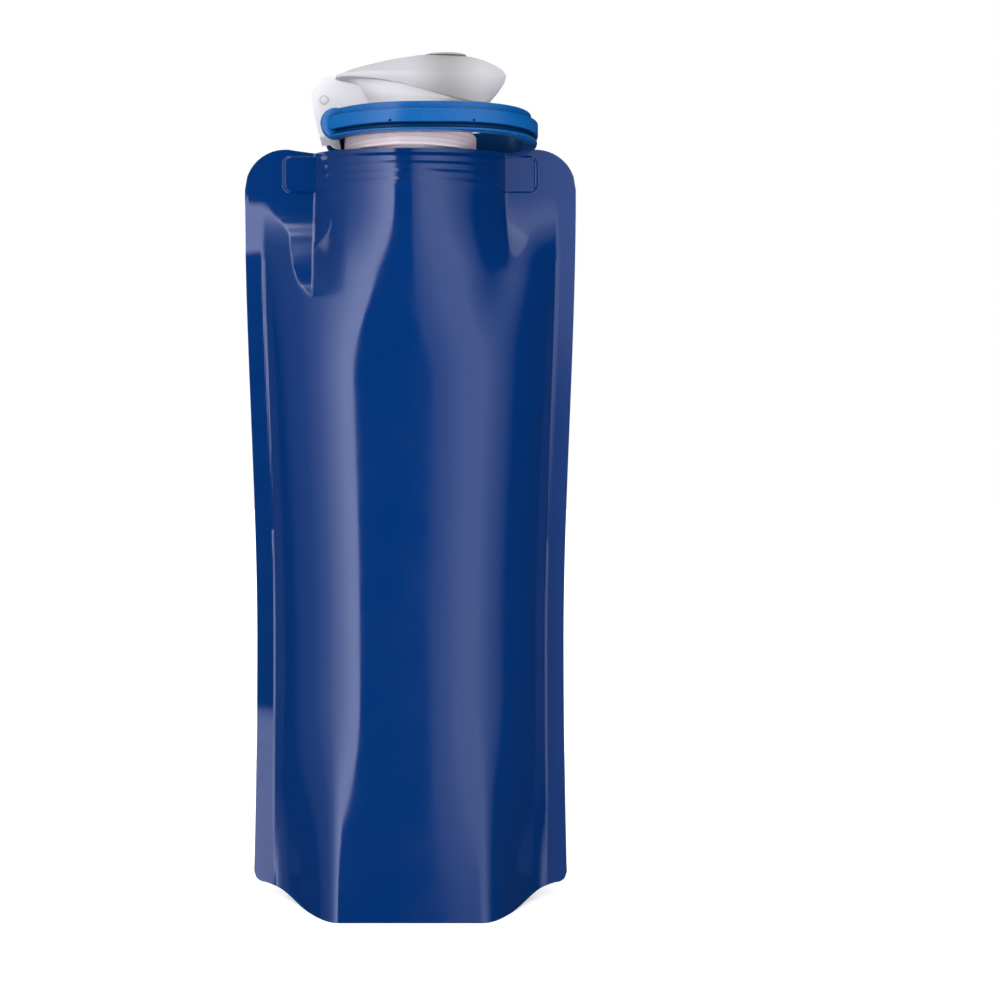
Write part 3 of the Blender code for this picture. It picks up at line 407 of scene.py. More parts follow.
# Mesh helpers
def smoothed(piece, angle=32):
    """Smooth shading with sharp edges where faces meet more steeply than this."""
    piece.data.shade_smooth()
    piece.data.set_sharp_from_angle(angle=radians(angle))
    return piece


def placed(name, data):
    """An object that holds this data, put into the scene."""
    item = bpy.data.objects.new(name, data)
    bpy.context.scene.collection.objects.link(item)
    return item


def new_object(name, work):
    bmesh.ops.recalc_face_normals(work, faces=work.faces)
    bmesh.ops.scale(work, vec=(MM, MM, MM), verts=work.verts)
    mesh = bpy.data.meshes.new(name)
    work.to_mesh(mesh)
    work.free()
    return smoothed(placed(name, mesh), 40)


def skin_rings(name, rings, strip_ends=False):
    """A closed skin over rings of points; thin ends are closed by strips."""
    work = bmesh.new()
    loops = [[work.verts.new(point) for point in ring] for ring in rings]
    count = len(rings[0])
    for low, high in zip(loops, loops[1:]):
        for i in range(count):
            j = (i + 1) % count
            work.faces.new((low[i], low[j], high[j], high[i]))
    for end in (loops[0], loops[-1]):
        if not strip_ends:
            work.faces.new(end)
            continue
        for i in range(count // 2 - 1):
            work.faces.new((end[i], end[i + 1], end[count - 2 - i], end[count - 1 - i]))
    return new_object(name, work)


def dress(piece, look, body, node_name):
    """Give a piece its material, the body it rides on and the CAD node it stands for."""
    piece.data.materials.clear()
    piece.data.materials.append(look)
    for face in piece.data.polygons:
        face.material_index = 0
    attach(piece, body)
    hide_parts(node_name)


# Materials
def give(item, **values):
    """Set a node's inputs by their names, with _ for a space."""
    for key, value in values.items():
        item.inputs[key.replace("_", " ")].default_value = value


def material(name, colour, rough, **inputs):
    made = bpy.data.materials.new(name)
    made.use_nodes = True
    shader = made.node_tree.nodes["Principled BSDF"]
    give(shader, Base_Color=(*colour, 1.0), Roughness=rough, **inputs)
    return made, made.node_tree, shader


def node(tree, kind, **settings):
    made = tree.nodes.new(kind)
    for key, value in settings.items():
        setattr(made, key, value)
    return made


def noise(tree, scale, detail=3.0, stretch=(1, 1, 1)):
    coords = node(tree, "ShaderNodeTexCoord")
    mapping = node(tree, "ShaderNodeMapping")
    give(mapping, Scale=stretch)
    tree.links.new(coords.outputs["Object"], mapping.inputs["Vector"])
    made = node(tree, "ShaderNodeTexNoise")
    give(made, Scale=scale, Detail=detail)
    tree.links.new(mapping.outputs["Vector"], made.inputs["Vector"])
    return made.outputs["Fac"]


def ramp(tree, source, low, high, start=0.3, end=0.7):
    made = node(tree, "ShaderNodeMapRange")
    give(made, From_Min=start, From_Max=end, To_Min=low, To_Max=high)
    tree.links.new(source, made.inputs["Value"])
    return made.outputs["Result"]


def bump(tree, shader, source, strength, distance, after=None):
    made = node(tree, "ShaderNodeBump")
    give(made, Strength=strength, Distance=distance)
    tree.links.new(source, made.inputs["Height"])
    if after is not None:
        tree.links.new(after, made.inputs["Normal"])
    tree.links.new(made.outputs["Normal"], shader.inputs["Normal"])
    return made.outputs["Normal"]


def place(tree, axis):
    """A piece's own coordinate along one axis."""
    coords = node(tree, "ShaderNodeTexCoord")
    split = node(tree, "ShaderNodeSeparateXYZ")
    tree.links.new(coords.outputs["Object"], split.inputs["Vector"])
    return split.outputs[axis]


def sums(tree, operation, source, other=None):
    """One step of arithmetic on a value, with a number or with another value."""
    made = node(tree, "ShaderNodeMath", operation=operation)
    tree.links.new(source, made.inputs[0])
    if isinstance(other, (int, float)):
        made.inputs[1].default_value = other
    elif other is not None:
        tree.links.new(other, made.inputs[1])
    return made.outputs["Value"]


def blend(tree, shader, factor, first, second):
    """Base colour from the first to the second as the factor grows."""
    made = node(tree, "ShaderNodeMix", data_type="RGBA")
    colours = [item for item in made.inputs if item.type == "RGBA"]
    colours[0].default_value = (*first, 1.0)
    colours[1].default_value = (*second, 1.0)
    tree.links.new(factor, made.inputs["Factor"])
    result = next(item for item in made.outputs if item.type == "RGBA")
    tree.links.new(result, shader.inputs["Base Color"])


def knurl(tree):
    """Fine diamonds pressed into the side seals, as a height from -1 to 1."""
    pace = tau / (KNURL_PITCH * MM)
    across = sums(tree, "MULTIPLY", place(tree, "X"), pace)
    along = sums(tree, "MULTIPLY", place(tree, "Z"), pace)
    rising = sums(tree, "SINE", sums(tree, "ADD", across, along))
    falling = sums(tree, "SINE", sums(tree, "SUBTRACT", across, along))
    pressed = ramp(tree, sums(tree, "ABSOLUTE", place(tree, "Y")), 1.0, 0.0, 1.6 * MM, 2.0 * MM)
    below = ramp(tree, place(tree, "Z"), 1.0, 0.0, (BAND_Z - 4) * MM, BAND_Z * MM)
    field = sums(tree, "MULTIPLY", pressed, below)
    return sums(tree, "MULTIPLY", sums(tree, "MULTIPLY", rising, falling), field)


def film_material():
    made, tree, shader = material("pouch_film", (0.0, 0.020, 0.108), 0.1, IOR=1.5,
                                  Specular_Tint=(0.74, 0.77, 1.0, 1.0))
    tree.links.new(ramp(tree, noise(tree, 60, 4), 0.07, 0.13), shader.inputs["Roughness"])
    soft = bump(tree, shader, noise(tree, 22, 2, (1, 1, 0.35)), 0.12, 0.0012)
    fine = bump(tree, shader, noise(tree, 900, 2), 0.05, 0.00005, soft)
    bump(tree, shader, knurl(tree), 1.0, KNURL_DEPTH * MM, fine)
    return made


def soft_edge(tree, radius):
    """A normal that rounds off edges by this radius in millimetres."""
    made = node(tree, "ShaderNodeBevel", samples=4)
    give(made, Radius=radius * MM)
    return made.outputs["Normal"]


def moulded_material(name, colour, rough, edge, grain, depth, **inputs):
    """Plastic or rubber: rounded edges, a fine grain and a slightly uneven sheen."""
    made, tree, shader = material(name, colour, rough, **inputs)
    tree.links.new(ramp(tree, noise(tree, 90, 3), rough * 0.85, rough * 1.2),
                   shader.inputs["Roughness"])
    bump(tree, shader, noise(tree, grain, 2), 0.12, depth, soft_edge(tree, edge))
    return made, tree, shader


def frosted_material(name, plain, shaded):
    """Natural polypropylene: milky, lit through from behind, with painted shade: a darker band along
    the plug's axis stands in for the plug seen through the wall.
    """
    made, tree, shader = moulded_material(name, plain, 0.42, 0.3, 900, 0.00006,
                                          Transmission_Weight=0.3, IOR=1.3)
    # Painted shade: the base colour darkens near the plug's axis, standing in for the plug seen
    # through the frosted wall.
    off_plug = sums(tree, "ABSOLUTE", sums(tree, "SUBTRACT", place(tree, "X"), SPOUT_X * MM))
    blend(tree, shader, ramp(tree, off_plug, 0.0, 1.0, 0.002, 0.013), shaded, plain)
    through = node(tree, "ShaderNodeBsdfTranslucent")
    give(through, Color=(*plain, 1.0))
    both = node(tree, "ShaderNodeMixShader")
    give(both, Fac=0.35)
    tree.links.new(shader.outputs["BSDF"], both.inputs[1])
    tree.links.new(through.outputs["BSDF"], both.inputs[2])
    tree.links.new(both.outputs["Shader"], tree.nodes["Material Output"].inputs["Surface"])
    return made


def collar_material():
    """The same plastic with faint bands, over the seal's colour, which gives it a pink cast."""
    made, tree, shader = moulded_material("collar_plastic", (0.52, 0.48, 0.53), 0.34, 0.3, 900,
                                          0.00005, Subsurface_Weight=0.3, Subsurface_Scale=0.003)
    turn = sums(tree, "MULTIPLY", place(tree, "Z"), tau / (BAND_PITCH * MM))
    bands = ramp(tree, sums(tree, "SINE", turn), 0.0, 1.0, 0.55, 1.0)
    blend(tree, shader, bands, (0.50, 0.45, 0.51), (0.45, 0.31, 0.36))
    return made


def silicone_material(name, colour):
    return moulded_material(name, colour, 0.52, 0.3, 700, 0.00006)[0]


def carabiner_material():
    """Deep blue plastic with painted shade: its colour and sheen are darkened where ambient occlusion
    finds the loop shading itself.
    """
    made, tree, shader = moulded_material("carabiner_plastic", (0.0, 0.062, 0.215), 0.26, 0.2, 1200,
                                          0.00004)
    open_air = node(tree, "ShaderNodeAmbientOcclusion", samples=8)
    give(open_air, Distance=0.03)
    painted_lit_share = ramp(tree, open_air.outputs["AO"], 0.0, 1.0, 0.3, 0.8)
    # Painted shade: the base colour runs from near-black in occluded corners to the plain blue in the
    # open.
    blend(tree, shader, painted_lit_share, (0.0, 0.012, 0.05), (0.0, 0.074, 0.26))
    # Painted shade on the sheen as well: the specular level drops where the loop is occluded.
    tree.links.new(ramp(tree, painted_lit_share, 0.02, 0.24, 0.0, 1.0), shader.inputs["Specular IOR Level"])
    return made


def steel_material():
    made, tree, shader = material("gate_wire", (0.62, 0.60, 0.57), 0.25, Metallic=1.0)
    tree.links.new(ramp(tree, noise(tree, 300, 3, (0.1, 1, 1)), 0.2, 0.34),
                   shader.inputs["Roughness"])
    bump(tree, shader, noise(tree, 2500, 2, (0.1, 1, 1)), 0.1, 0.00002)
    return made


# Pouch pieces
def shares():
    """Column places from edge to edge, closest at the seals and the boat's ends."""
    count = 96
    run = [sin(pi / 2 * i / (count / 2)) * 0.35 + (i / (count / 2)) * 0.65
           for i in range(count // 2 + 1)]
    fine = [BOAT_HALF_LENGTH + 0.6 * i for i in range(-2, 31)]
    fine += [WING_END + WING_PRINT - WING_CORNER + WING_STEP / 4 * i for i in range(5)]
    run = sorted(run + [x / SHOULDER_HALF_WIDTH for x in fine])
    run = [0.0] + [high for low, high in zip(run, run[1:]) if high - low > 0.001]
    return [-value for value in reversed(run[1:])] + run


def rows():
    """Row places from the foot edge to the top edge."""
    result = spread(0.0, FOOT_SEAL, 6)
    result += spread(FOOT_SEAL, VALLEY_END, 72)[1:]
    result += spread(VALLEY_END, TRIM_START, 40)[1:]
    result += spread(TRIM_START, BAND_Z, 8)[1:]
    return result + spread(BAND_Z, POUCH_HEIGHT, 8 * (2 * RIBS + 1))[1:]


def film_skin(name, side):
    rings = []
    heights = rows()
    for share in shares():
        inner = []
        outer = []
        for row in heights:
            x = share * half_width(row)
            z = film_height(x, row)
            near = inner_face(x, z)
            far = near + FILM * slope_factor(x, z)
            inner.append((x, side * near + bend(x, z), z))
            outer.append((x, side * far + bend(x, z), z))
        rings.append(inner + outer[::-1])
    return skin_rings(name, rings, strip_ends=True)


def fold_height(x):
    chord = FOOT_HALF_WIDTH - SIDE_SEAL
    share = min(abs(x) / chord, 1.0)
    return mix(GUSSET_FLOOR, GUSSET_FOLD, share ** 2.6)


def gusset_arch(x, inset, below):
    points = []
    for row in spread(0.0, FOOT_SEAL, 4):
        z = film_height(x, row)
        points.append((inner_face(x, z) - inset * slope_factor(x, z), z))
    reach, start = points[-1]
    top = fold_height(x) - below
    for i in range(1, 17):
        angle = pi / 2 * i / 16
        side = reach * cos(angle) ** 0.5 if i < 16 else 0.0
        points.append((side, mix(start, top, sin(angle) ** 0.5)))
    return points


def gusset_skin():
    rings = []
    for share in shares():
        x = share * half_width(FOOT_SEAL)
        upper = gusset_arch(x, GAP, 0.0)
        lower = gusset_arch(x, GAP + FILM, FILM)
        ring = [(x, -y, z) for y, z in upper] + [(x, y, z) for y, z in reversed(upper[:-1])]
        ring += [(x, y, z) for y, z in lower] + [(x, -y, z) for y, z in reversed(lower[:-1])]
        rings.append([(x * half_width(z) / half_width(FOOT_SEAL), y + bend(x, z), z)
                      for x, y, z in ring])
    return skin_rings("gusset_skin", rings)


film = film_material()
SKINS = (("front_skin", -1, "front_film"), ("back_skin", 1, "back_film"))
for skin_name, skin_side, replaced in SKINS:
    piece = film_skin(skin_name, skin_side)
    dress(piece, film, "pouch", replaced)
gusset = gusset_skin()
dress(gusset, film, "pouch", "bottom_gusset")


# Helpers of the moulded pieces
def circle(centre, radius, count):
    """Points evenly spaced round a circle."""
    return [(centre[0] + radius * cos(tau * i / count),
             centre[1] + radius * sin(tau * i / count)) for i in range(count)]


def arc(centre, radius, start, end, count):
    """Points on an arc in degrees, both ends included."""
    points = []
    for turn in spread(start, end, count):
        angle = radians(turn)
        points.append((centre[0] + radius * cos(angle), centre[1] + radius * sin(angle)))
    return points


def curve(points, count):
    """Smooth values through a list of points, with count steps from each to the next."""
    result = []
    last = len(points) - 1
    for i in range(last):
        near = (points[max(i - 1, 0)], points[i], points[i + 1], points[min(i + 2, last)])
        for step in range(count):
            t = step / count
            result.append(tuple(
                0.5 * (2 * q + (r - p) * t + (2 * p - 5 * q + 4 * r - s) * t * t
                       + (3 * q - p - 3 * r + s) * t ** 3)
                for p, q, r, s in zip(*near)))
    return result + [tuple(points[-1])]


def filleted(outline, radius):
    """The same closed outline with each of its corners rounded."""
    result = []
    for i, point in enumerate(outline):
        corner = Vector(point)
        ends = []
        for other in (outline[i - 1], outline[(i + 1) % len(outline)]):
            run = Vector(other) - corner
            ends.append(corner + run * min(radius / run.length, 0.45))
        for t in (0, 1 / 3, 2 / 3, 1):
            spot = ends[0] * (1 - t) ** 2 + corner * 2 * t * (1 - t) + ends[1] * t ** 2
            result.append(tuple(spot))
    return result


def bake(item):
    """Turn an item's modifiers into its mesh."""
    graph = bpy.context.evaluated_depsgraph_get()
    graph.update()
    made = bpy.data.meshes.new_from_object(item.evaluated_get(graph))
    item.modifiers.clear()
    item.data = made


def cut(item, other, operation="DIFFERENCE"):
    """Cut another mesh, which is used up, out of this one."""
    step = item.modifiers.new("step", "BOOLEAN")
    step.operation = operation
    step.object = other
    step.solver = "EXACT"
    bake(item)
    bpy.data.objects.remove(other, do_unlink=True)


def join(item, other):
    """Make this mesh and another, which is used up, one body."""
    cut(item, other, "UNION")


def turned(name, profile, steps, centre=(0.0, 0.0)):
    """Revolve a closed (radius, height) profile; points on the axis are shared."""
    work = bmesh.new()
    rings = []
    for radius, z in profile:
        if radius == 0:
            rings.append([work.verts.new((*centre, z))] * steps)
            continue
        rings.append([work.verts.new((x, y, z)) for x, y in circle(centre, radius, steps)])
    pairs = list(zip(rings, rings[1:]))
    if profile[0][0] > 0:
        pairs.append((rings[-1], rings[0]))
    for low, high in pairs:
        for i in range(steps):
            j = (i + 1) % steps
            corners = list(dict.fromkeys((low[i], low[j], high[j], high[i])))
            if len(corners) > 2:
                work.faces.new(corners)
    return new_object(name, work)


def post(name, radius, centre, low, high, sides):
    """An upright round bar at a place in plan."""
    return skin_rings(name, [[(x, y, z) for x, y in circle(centre, radius, sides)]
                             for z in (low, high)])


def spindle(name, centre, levels, sides):
    """A round body along Y at a place in the side view, from its radius at each y."""
    return skin_rings(name, [[(x, y, z) for x, z in circle(centre, radius, sides)]
                             for y, radius in levels])


def pin_hole():
    """A cutter for the lid pin's hole, right across the horn."""
    reach = HORN_HALF_WIDTH + 2
    radius = LID_PIN_R + PIN_PLAY
    return spindle("pin_hole", (LID_PIN_X, LID_PIN_Z), ((-reach, radius), (reach, radius)), 40)


def block(name, low, high):
    """A box cutter between two corners."""
    square = [(low[0], low[1]), (high[0], low[1]), (high[0], high[1]), (low[0], high[1])]
    return skin_rings(name, [[(x, y, z) for x, y in square] for z in (low[2], high[2])])


def plate(name, outline, half_thick, edge):
    """A closed outline in the XZ plane with thickness along Y and softened edges."""
    pairs = zip(outline, outline[1:] + outline[:1])
    area = sum(a[0] * b[1] - b[0] * a[1] for a, b in pairs)
    full = 1 - edge / half_thick
    rings = []
    for side, inset in ((-1, edge), (-full, 0), (full, 0), (1, edge)):
        ring = []
        for i, (x, z) in enumerate(outline):
            ahead = Vector(outline[(i + 1) % len(outline)])
            behind = Vector(outline[i - 1])
            run = (ahead - behind).normalized()
            move = copysign(inset, area)
            ring.append((x - run.y * move, side * half_thick, z + run.x * move))
        rings.append(ring)
    return skin_rings(name, rings)


def even(z):
    """A height that is the same at every x."""
    return lambda x: z


def oval(back, front, half_width_y, height, count=96):
    """A closed oval ring, its height given as a function of x."""
    middle = mix(back, front, 0.5)
    ring = []
    for i in range(count):
        angle = tau * i / count
        x = middle + (front - middle) * cos(angle)
        ring.append((x, half_width_y * sin(angle), height(x)))
    return ring


def thread_ridge(name, root_r, crest_r, start_z, turns):
    """A helical ridge whose ends taper into the wall it stands on."""
    per_turn = 60
    count = round(per_turn * turns)
    sink = 0.35 if crest_r > root_r else -0.35
    rings = []
    for i in range(count + 1):
        angle = tau * i / per_turn + radians(THREAD_PHASE)
        z = start_z + THREAD_PITCH * i / per_turn
        taper = min(1.0, (i + 0.4) / 8, (count - i + 0.4) / 8)
        crest = mix(root_r, crest_r, taper)
        section = [(root_r - sink, z - THREAD_ROOT / 2), (crest, z - THREAD_CREST / 2),
                   (crest, z + THREAD_CREST / 2), (root_r - sink, z + THREAD_ROOT / 2)]
        rings.append([(r * cos(angle), r * sin(angle), height) for r, height in section])
    return skin_rings(name, rings)


# Spout, cap and lid
def boat_mesh():
    """The weld boat between the films, with a flat wing at each end."""
    half = [BOAT_HALF_LENGTH * sin(pi / 2 * i / 24) for i in range(25)]
    wing_low = BAND_Z + WING_MARGIN
    wing_high = band_top(WING_END) - WING_MARGIN - 2
    rings = []
    for x in [-WING_END] + [-x for x in reversed(half[1:])] + half + [WING_END]:
        ring = []
        for row in spread(BAND_Z, POUCH_HEIGHT, 36):
            if abs(x) >= BOAT_HALF_LENGTH:
                ring.append((WING_THICK / 2, mix(wing_low, wing_high, (row - BAND_Z) / TOP_SEAL)))
                continue
            level = film_height(x, row)
            z = min(max(level, BAND_Z + 0.2), band_top(x) - 0.4)
            reach = inner_face(x, level) - GAP * slope_factor(x, level)
            ring.append((max(reach, WING_THICK / 2), z))
        rings.append([(x, -y, z) for y, z in ring] + [(x, y, z) for y, z in reversed(ring)])
    return skin_rings("spout_skin", rings)


def spout_skin():
    """Boat, collar and threaded neck in one moulding, with the bore right through it."""
    round_over = 0.7
    flange = arc((COLLAR_R - round_over, GROOVE_Z - round_over), round_over, 90, 0, 6)
    foot = arc((COLLAR_R - 0.5, COLLAR_Z + 0.5), 0.5, 0, -90, 4)
    ring_top = arc((RING_R - 0.6, COLLAR_TOP_Z - 0.6), 0.6, 90, 0, 6)
    lip = arc((NECK_R - 0.6, NECK_TOP_Z - 0.6), 0.6, 90, 0, 6)
    profile = [(BORE_R - 1, NECK_TOP_Z)] + lip + [(NECK_R, COLLAR_TOP_Z)] + ring_top
    profile += [(RING_R - 0.2, COLLAR_TOP_Z - RING_HEIGHT * 0.6), (GROOVE_R, GROOVE_Z + GROOVE_HEIGHT),
                (GROOVE_R, GROOVE_Z)]
    profile += flange + foot + [(COLLAR_BASE_R, COLLAR_Z), (COLLAR_BASE_R, BAND_Z + TOP_SEAL / 2),
                                (BORE_R - 1, BAND_Z + TOP_SEAL / 2)]
    made = boat_mesh()
    join(made, turned("collar", profile, 138))
    join(made, thread_ridge("neck_thread", NECK_R, NECK_R + THREAD_DEPTH,
                            COLLAR_TOP_Z + THREAD_START, THREAD_TURNS))
    cut(made, post("bore", BORE_R, (0, 0), BAND_Z - 5, NECK_TOP_Z + 5, 126))
    return smoothed(made)


def gasket_skin():
    """Soft ring between the collar and the cap, with rounded edges."""
    low = COLLAR_TOP_Z + GAP
    high = low + GASKET_THICK
    edge = 0.6
    profile = [(SKIRT_R, high)] + arc((GASKET_R - edge, high - edge), edge, 90, 0, 6)
    profile += arc((GASKET_R - edge, low + edge), edge, 0, -90, 6) + [(SKIRT_R, low)]
    return turned("gasket_skin", profile, 128)


def rim_share(x):
    return (x - LID_BACK) / (LID_RIM_FRONT - LID_BACK)


def rim_line(x):
    """Height of the slanting plane in which the lid closes on the cap."""
    return mix(RIM_HEIGHT + RIM_BACK_RISE, RIM_HEIGHT - RIM_FRONT_DROP, rim_share(x))


def rim_wave(x):
    """How far the rim bows up near the hinge and down near the beak."""
    return RIM_WAVE * sin(tau * min(max(rim_share(x), 0.0), 1.0))


def rim(x):
    return rim_line(x) + rim_wave(x)


def cap_shell():
    """The cap's outer form: a round skirt that grows into the tilted oval."""
    shoulder = DECK_Z + DECK / 2

    def between(share):
        back = mix(-CAP_R, -CAP_BACK, share)
        front = mix(CAP_R, CAP_FRONT, share)
        width = mix(CAP_R, CAP_TOP_HALF_WIDTH, share ** 1.3)
        return oval(back, front, width, lambda x: mix(shoulder, rim(x) - LID_FIT, share))

    edge = 0.5
    rings = [oval(-CAP_R + edge, CAP_R - edge, CAP_R - edge, even(SKIRT_Z)),
             oval(-CAP_R, CAP_R, CAP_R, even(SKIRT_Z + edge))]
    rings += [between(i / 12) for i in range(13)]
    return skin_rings("cap_skin", rings)


def horn_outline():
    """Side view of the horn: a lid knuckle seat above and a snap hook below."""
    hook = (HOOK_X, HOOK_Z)
    grip = arc(hook, HOOK_R, MOUTH_TOP, MOUTH_LOW, 48)
    lip = arc(hook, HOOK_R + HOOK_LIP, MOUTH_LOW, MOUTH_LOW - 60, 16)
    back = [(LID_PIN_X + x, HOOK_Z + z) for x, z in ((-1.6, -3.2), (-2.6, 0.8))]
    back += [(LID_PIN_X + x, LID_PIN_Z + z)
             for x, z in ((-3.6, -4.1), (-4.3, 0.6), (-4.0, 2.8), (-2.6, 5.4), (-0.8, 7.2),
                          (1.4, 8.3), (3.6, 8.6))]
    top = [(LID_BACK - 0.5, rim(LID_BACK) - 1.0),
           (-CAP_R - 3, rim(-CAP_R) - 1.6),
           (-CAP_R + 3, rim(-CAP_R) - 3.5),
           (-CAP_R + 3, SKIRT_Z + 0.8),
           (-CAP_R - 4.4, SKIRT_Z + 0.5)]
    return top + grip + lip + curve(back, 5)


def cap_skin():
    made = cap_shell()
    join(made, plate("horn", horn_outline(), HORN_HALF_WIDTH, 0.15))
    width = CAP_TOP_HALF_WIDTH - BOWL_WALL
    bowl = [oval(-CAP_R + 2 * BOWL_WALL, CAP_FRONT - BOWL_WALL - 1, width, even(DECK_Z + DECK)),
            oval(-CAP_R + 2 * BOWL_WALL, CAP_FRONT - BOWL_WALL, width, lambda x: rim(x) + 3)]
    cut(made, skin_rings("bowl", bowl))
    inside = SPOUT_BORE_R - 1
    tube = [(inside, SPOUT_TOP)] + arc((SPOUT_R - 0.8, SPOUT_TOP - 0.6), 0.6, 90, 0, 5)
    tube += [(SPOUT_R, DECK_Z + DECK / 2), (inside, DECK_Z + DECK / 2)]
    join(made, turned("spout_tube", tube, 70, (SPOUT_X, 0)))
    cut(made, post("skirt", SKIRT_R, (0, 0), SKIRT_Z - 4, DECK_Z, 126))
    join(made, thread_ridge("cap_thread", SKIRT_R, SKIRT_R - THREAD_DEPTH,
                            COLLAR_TOP_Z + THREAD_START + THREAD_PITCH / 2, CAP_THREAD_TURNS))
    levels = [(SPOUT_X - SPOUT_LEAN, DECK_Z - 0.5), (SPOUT_X, DECK_Z + DECK + 0.4),
              (SPOUT_X, SPOUT_TOP + 2)]
    cut(made, skin_rings("spout_bore", [oval(x - SPOUT_BORE_R, x + SPOUT_BORE_R, SPOUT_BORE_R,
                                             even(z), 60) for x, z in levels]))
    slot_half = KNUCKLE_HALF_WIDTH + GAP
    cut(made, block("slot", (LID_PIN_X - 8, -slot_half, LID_PIN_Z - KNUCKLE_R - 2 * GAP),
                    (LID_PIN_X + 5.4, slot_half, LID_PIN_Z + 14)))
    cut(made, pin_hole())
    return smoothed(made)


def lid_ring(back, tip, width, z_back, z_tip):
    """One level of the lid: blunt at the hinge, widest near the middle, narrow at the beak."""
    side = [(mix(back, tip, along), width * across, mix(z_back, z_tip, along))
            for along, across in reversed(curve(LID_PLAN, 4))]
    return side + [(x, -y, z) for x, y, z in reversed(side[1:-1])]


def lid_skin():
    """A hollow beak with a crease along each flank and a hinge knuckle at its back."""
    length = LID_TIP - LID_BACK
    low_back = rim(LID_BACK) + LID_FIT
    low_tip = rim(LID_RIM_FRONT) + LID_FIT
    outside = []
    inside = []
    levels = curve(LID_LEVELS[:LID_CREASE + 1], 7)[:-1] + curve(LID_LEVELS[LID_CREASE:], 7)
    for i, (back_in, tip_in, across, back_up, tip_up) in enumerate(levels):
        back = LID_BACK + length * back_in
        tip = LID_TIP - length * tip_in
        wide = LID_HALF_WIDTH * across
        z_back = mix(low_back, LID_CROWN, back_up)
        z_tip = mix(low_tip, LID_CROWN, tip_up)
        outside.append(lid_ring(back, tip, wide, z_back, z_tip))
        sink = LID_WALL * smooth(i / (len(levels) - 1))
        inside.append(lid_ring(back + LID_WALL, tip - LID_WALL, wide - LID_WALL,
                               z_back - sink, z_tip - sink))
    made = skin_rings("lid_skin", inside[::-1] + outside)
    seat = rim(LID_BACK)
    root = LID_BACK + KNUCKLE_ROOT
    knuckle = arc((LID_PIN_X, LID_PIN_Z), KNUCKLE_R, 150, 380, 40)
    knuckle += [(root, seat + 0.8), (root, seat + 0.8 + LID_WALL / 2),
                (LID_BACK - KNUCKLE_R + 0.6, seat - 1.2)]
    join(made, plate("knuckle", knuckle, KNUCKLE_HALF_WIDTH, 0.3))
    cut(made, pin_hole())
    cut(made, post("plug_hole", PLUG_STEM_R + GAP, (SPOUT_X, 0), LID_CROWN - 6, LID_CROWN + 6, 48))
    head = [oval(SPOUT_X - PLUG_HEAD_LENGTH / 2 - GAP, SPOUT_X + PLUG_HEAD_LENGTH / 2 + GAP,
                 PLUG_HEAD_WIDTH / 2 + GAP, even(z), 64)
            for z in (LID_CROWN - SEAT_DEPTH, LID_CROWN + 5)]
    cut(made, skin_rings("plug_seat", head))
    for spot in made.data.vertices:
        x = spot.co.x / MM
        low = 1 - smooth((spot.co.z / MM - rim_line(x)) / WAVE_REACH)
        spot.co.z += low * rim_wave(x) * MM
    return smoothed(made)


def plug_skin():
    """A domed oval head on the lid, and a body with a nipple that seals the spout."""
    under = LID_CROWN - LID_WALL - GAP - 0.25
    nipple_z = SPOUT_TOP + GAP
    seat = LID_CROWN - SEAT_DEPTH + GAP
    tip = nipple_z - PLUG_NIPPLE_LENGTH
    profile = [(0, seat + 0.4), (PLUG_STEM_R, seat + 0.4), (PLUG_STEM_R, under),
               (PLUG_BODY_R - 2.2, under - 1.0), (PLUG_BODY_R - 0.8, under - 2.2),
               (PLUG_BODY_R, under - 4.0), (PLUG_BODY_R - 0.2, nipple_z + 0.5),
               (PLUG_BODY_R - 0.7, nipple_z), (PLUG_NIPPLE_R, nipple_z),
               (PLUG_NIPPLE_R - 0.3, tip + 0.6), (PLUG_NIPPLE_R - 0.9, tip), (0, tip)]
    rise = PLUG_TOP - seat
    levels = curve([(0.94, 0.0), (1.0, 0.3), (0.93, 0.62), (0.72, 0.88), (0.4, 1.0), (0.05, 1.0)], 4)
    rings = [oval(SPOUT_X - PLUG_HEAD_LENGTH / 2 * share, SPOUT_X + PLUG_HEAD_LENGTH / 2 * share,
                  PLUG_HEAD_WIDTH / 2 * share, even(seat + rise * level), 64)
             for share, level in levels]
    made = skin_rings("plug_skin", rings)
    join(made, turned("plug_body", profile, 60, (SPOUT_X, 0)))
    return smoothed(made)


def pin_skin():
    """The lid's hinge pin, with its ends rounded over."""
    full = HORN_HALF_WIDTH
    end = full + 0.3
    tip_r = LID_PIN_R - 0.4
    levels = ((-end, tip_r), (-full, LID_PIN_R), (full, LID_PIN_R), (end, tip_r))
    return spindle("pin_skin", (LID_PIN_X, LID_PIN_Z), levels, 40)


# Carabiner
def loop_point(share):
    """Inner edge of the loop in plan: 0 at the hinge end, 1 at the far end."""
    if share < LOOP_LEFT:
        x = mix(HOOK_X, LOOP_WIDEST_X, share / LOOP_LEFT)
        fall = ((LOOP_WIDEST_X - x) / (LOOP_WIDEST_X - HOOK_X)) ** 3
        return x, mix(LOOP_HALF_WIDTH, LOOP_END_HALF_WIDTH, fall)
    angle = (share - LOOP_LEFT) / (1 - LOOP_LEFT) * pi / 2
    power = 2 / LOOP_SQUARENESS
    x = LOOP_WIDEST_X + (LOOP_REACH - LOOP_WIDEST_X) * max(sin(angle), 0.0) ** power
    return x, LOOP_HALF_WIDTH * max(cos(angle), 0.0) ** power


def leg_section():
    """Stepped section of the leg with rounded edges, as (outward, up) from the inner edge."""
    shallow = LEG_THICK - LEG_STEP
    height = LEG_HALF_HEIGHT
    corners = [(0, -height), (0, height), (shallow, height), (shallow, 0.46 * height),
               (LEG_THICK, 0.4 * height), (LEG_THICK, -0.48 * height), (shallow, -0.54 * height),
               (shallow, -0.8 * height), (LEG_THICK - 0.3, -0.85 * height), (LEG_THICK - 0.3, -height)]
    return filleted(corners, 0.45)


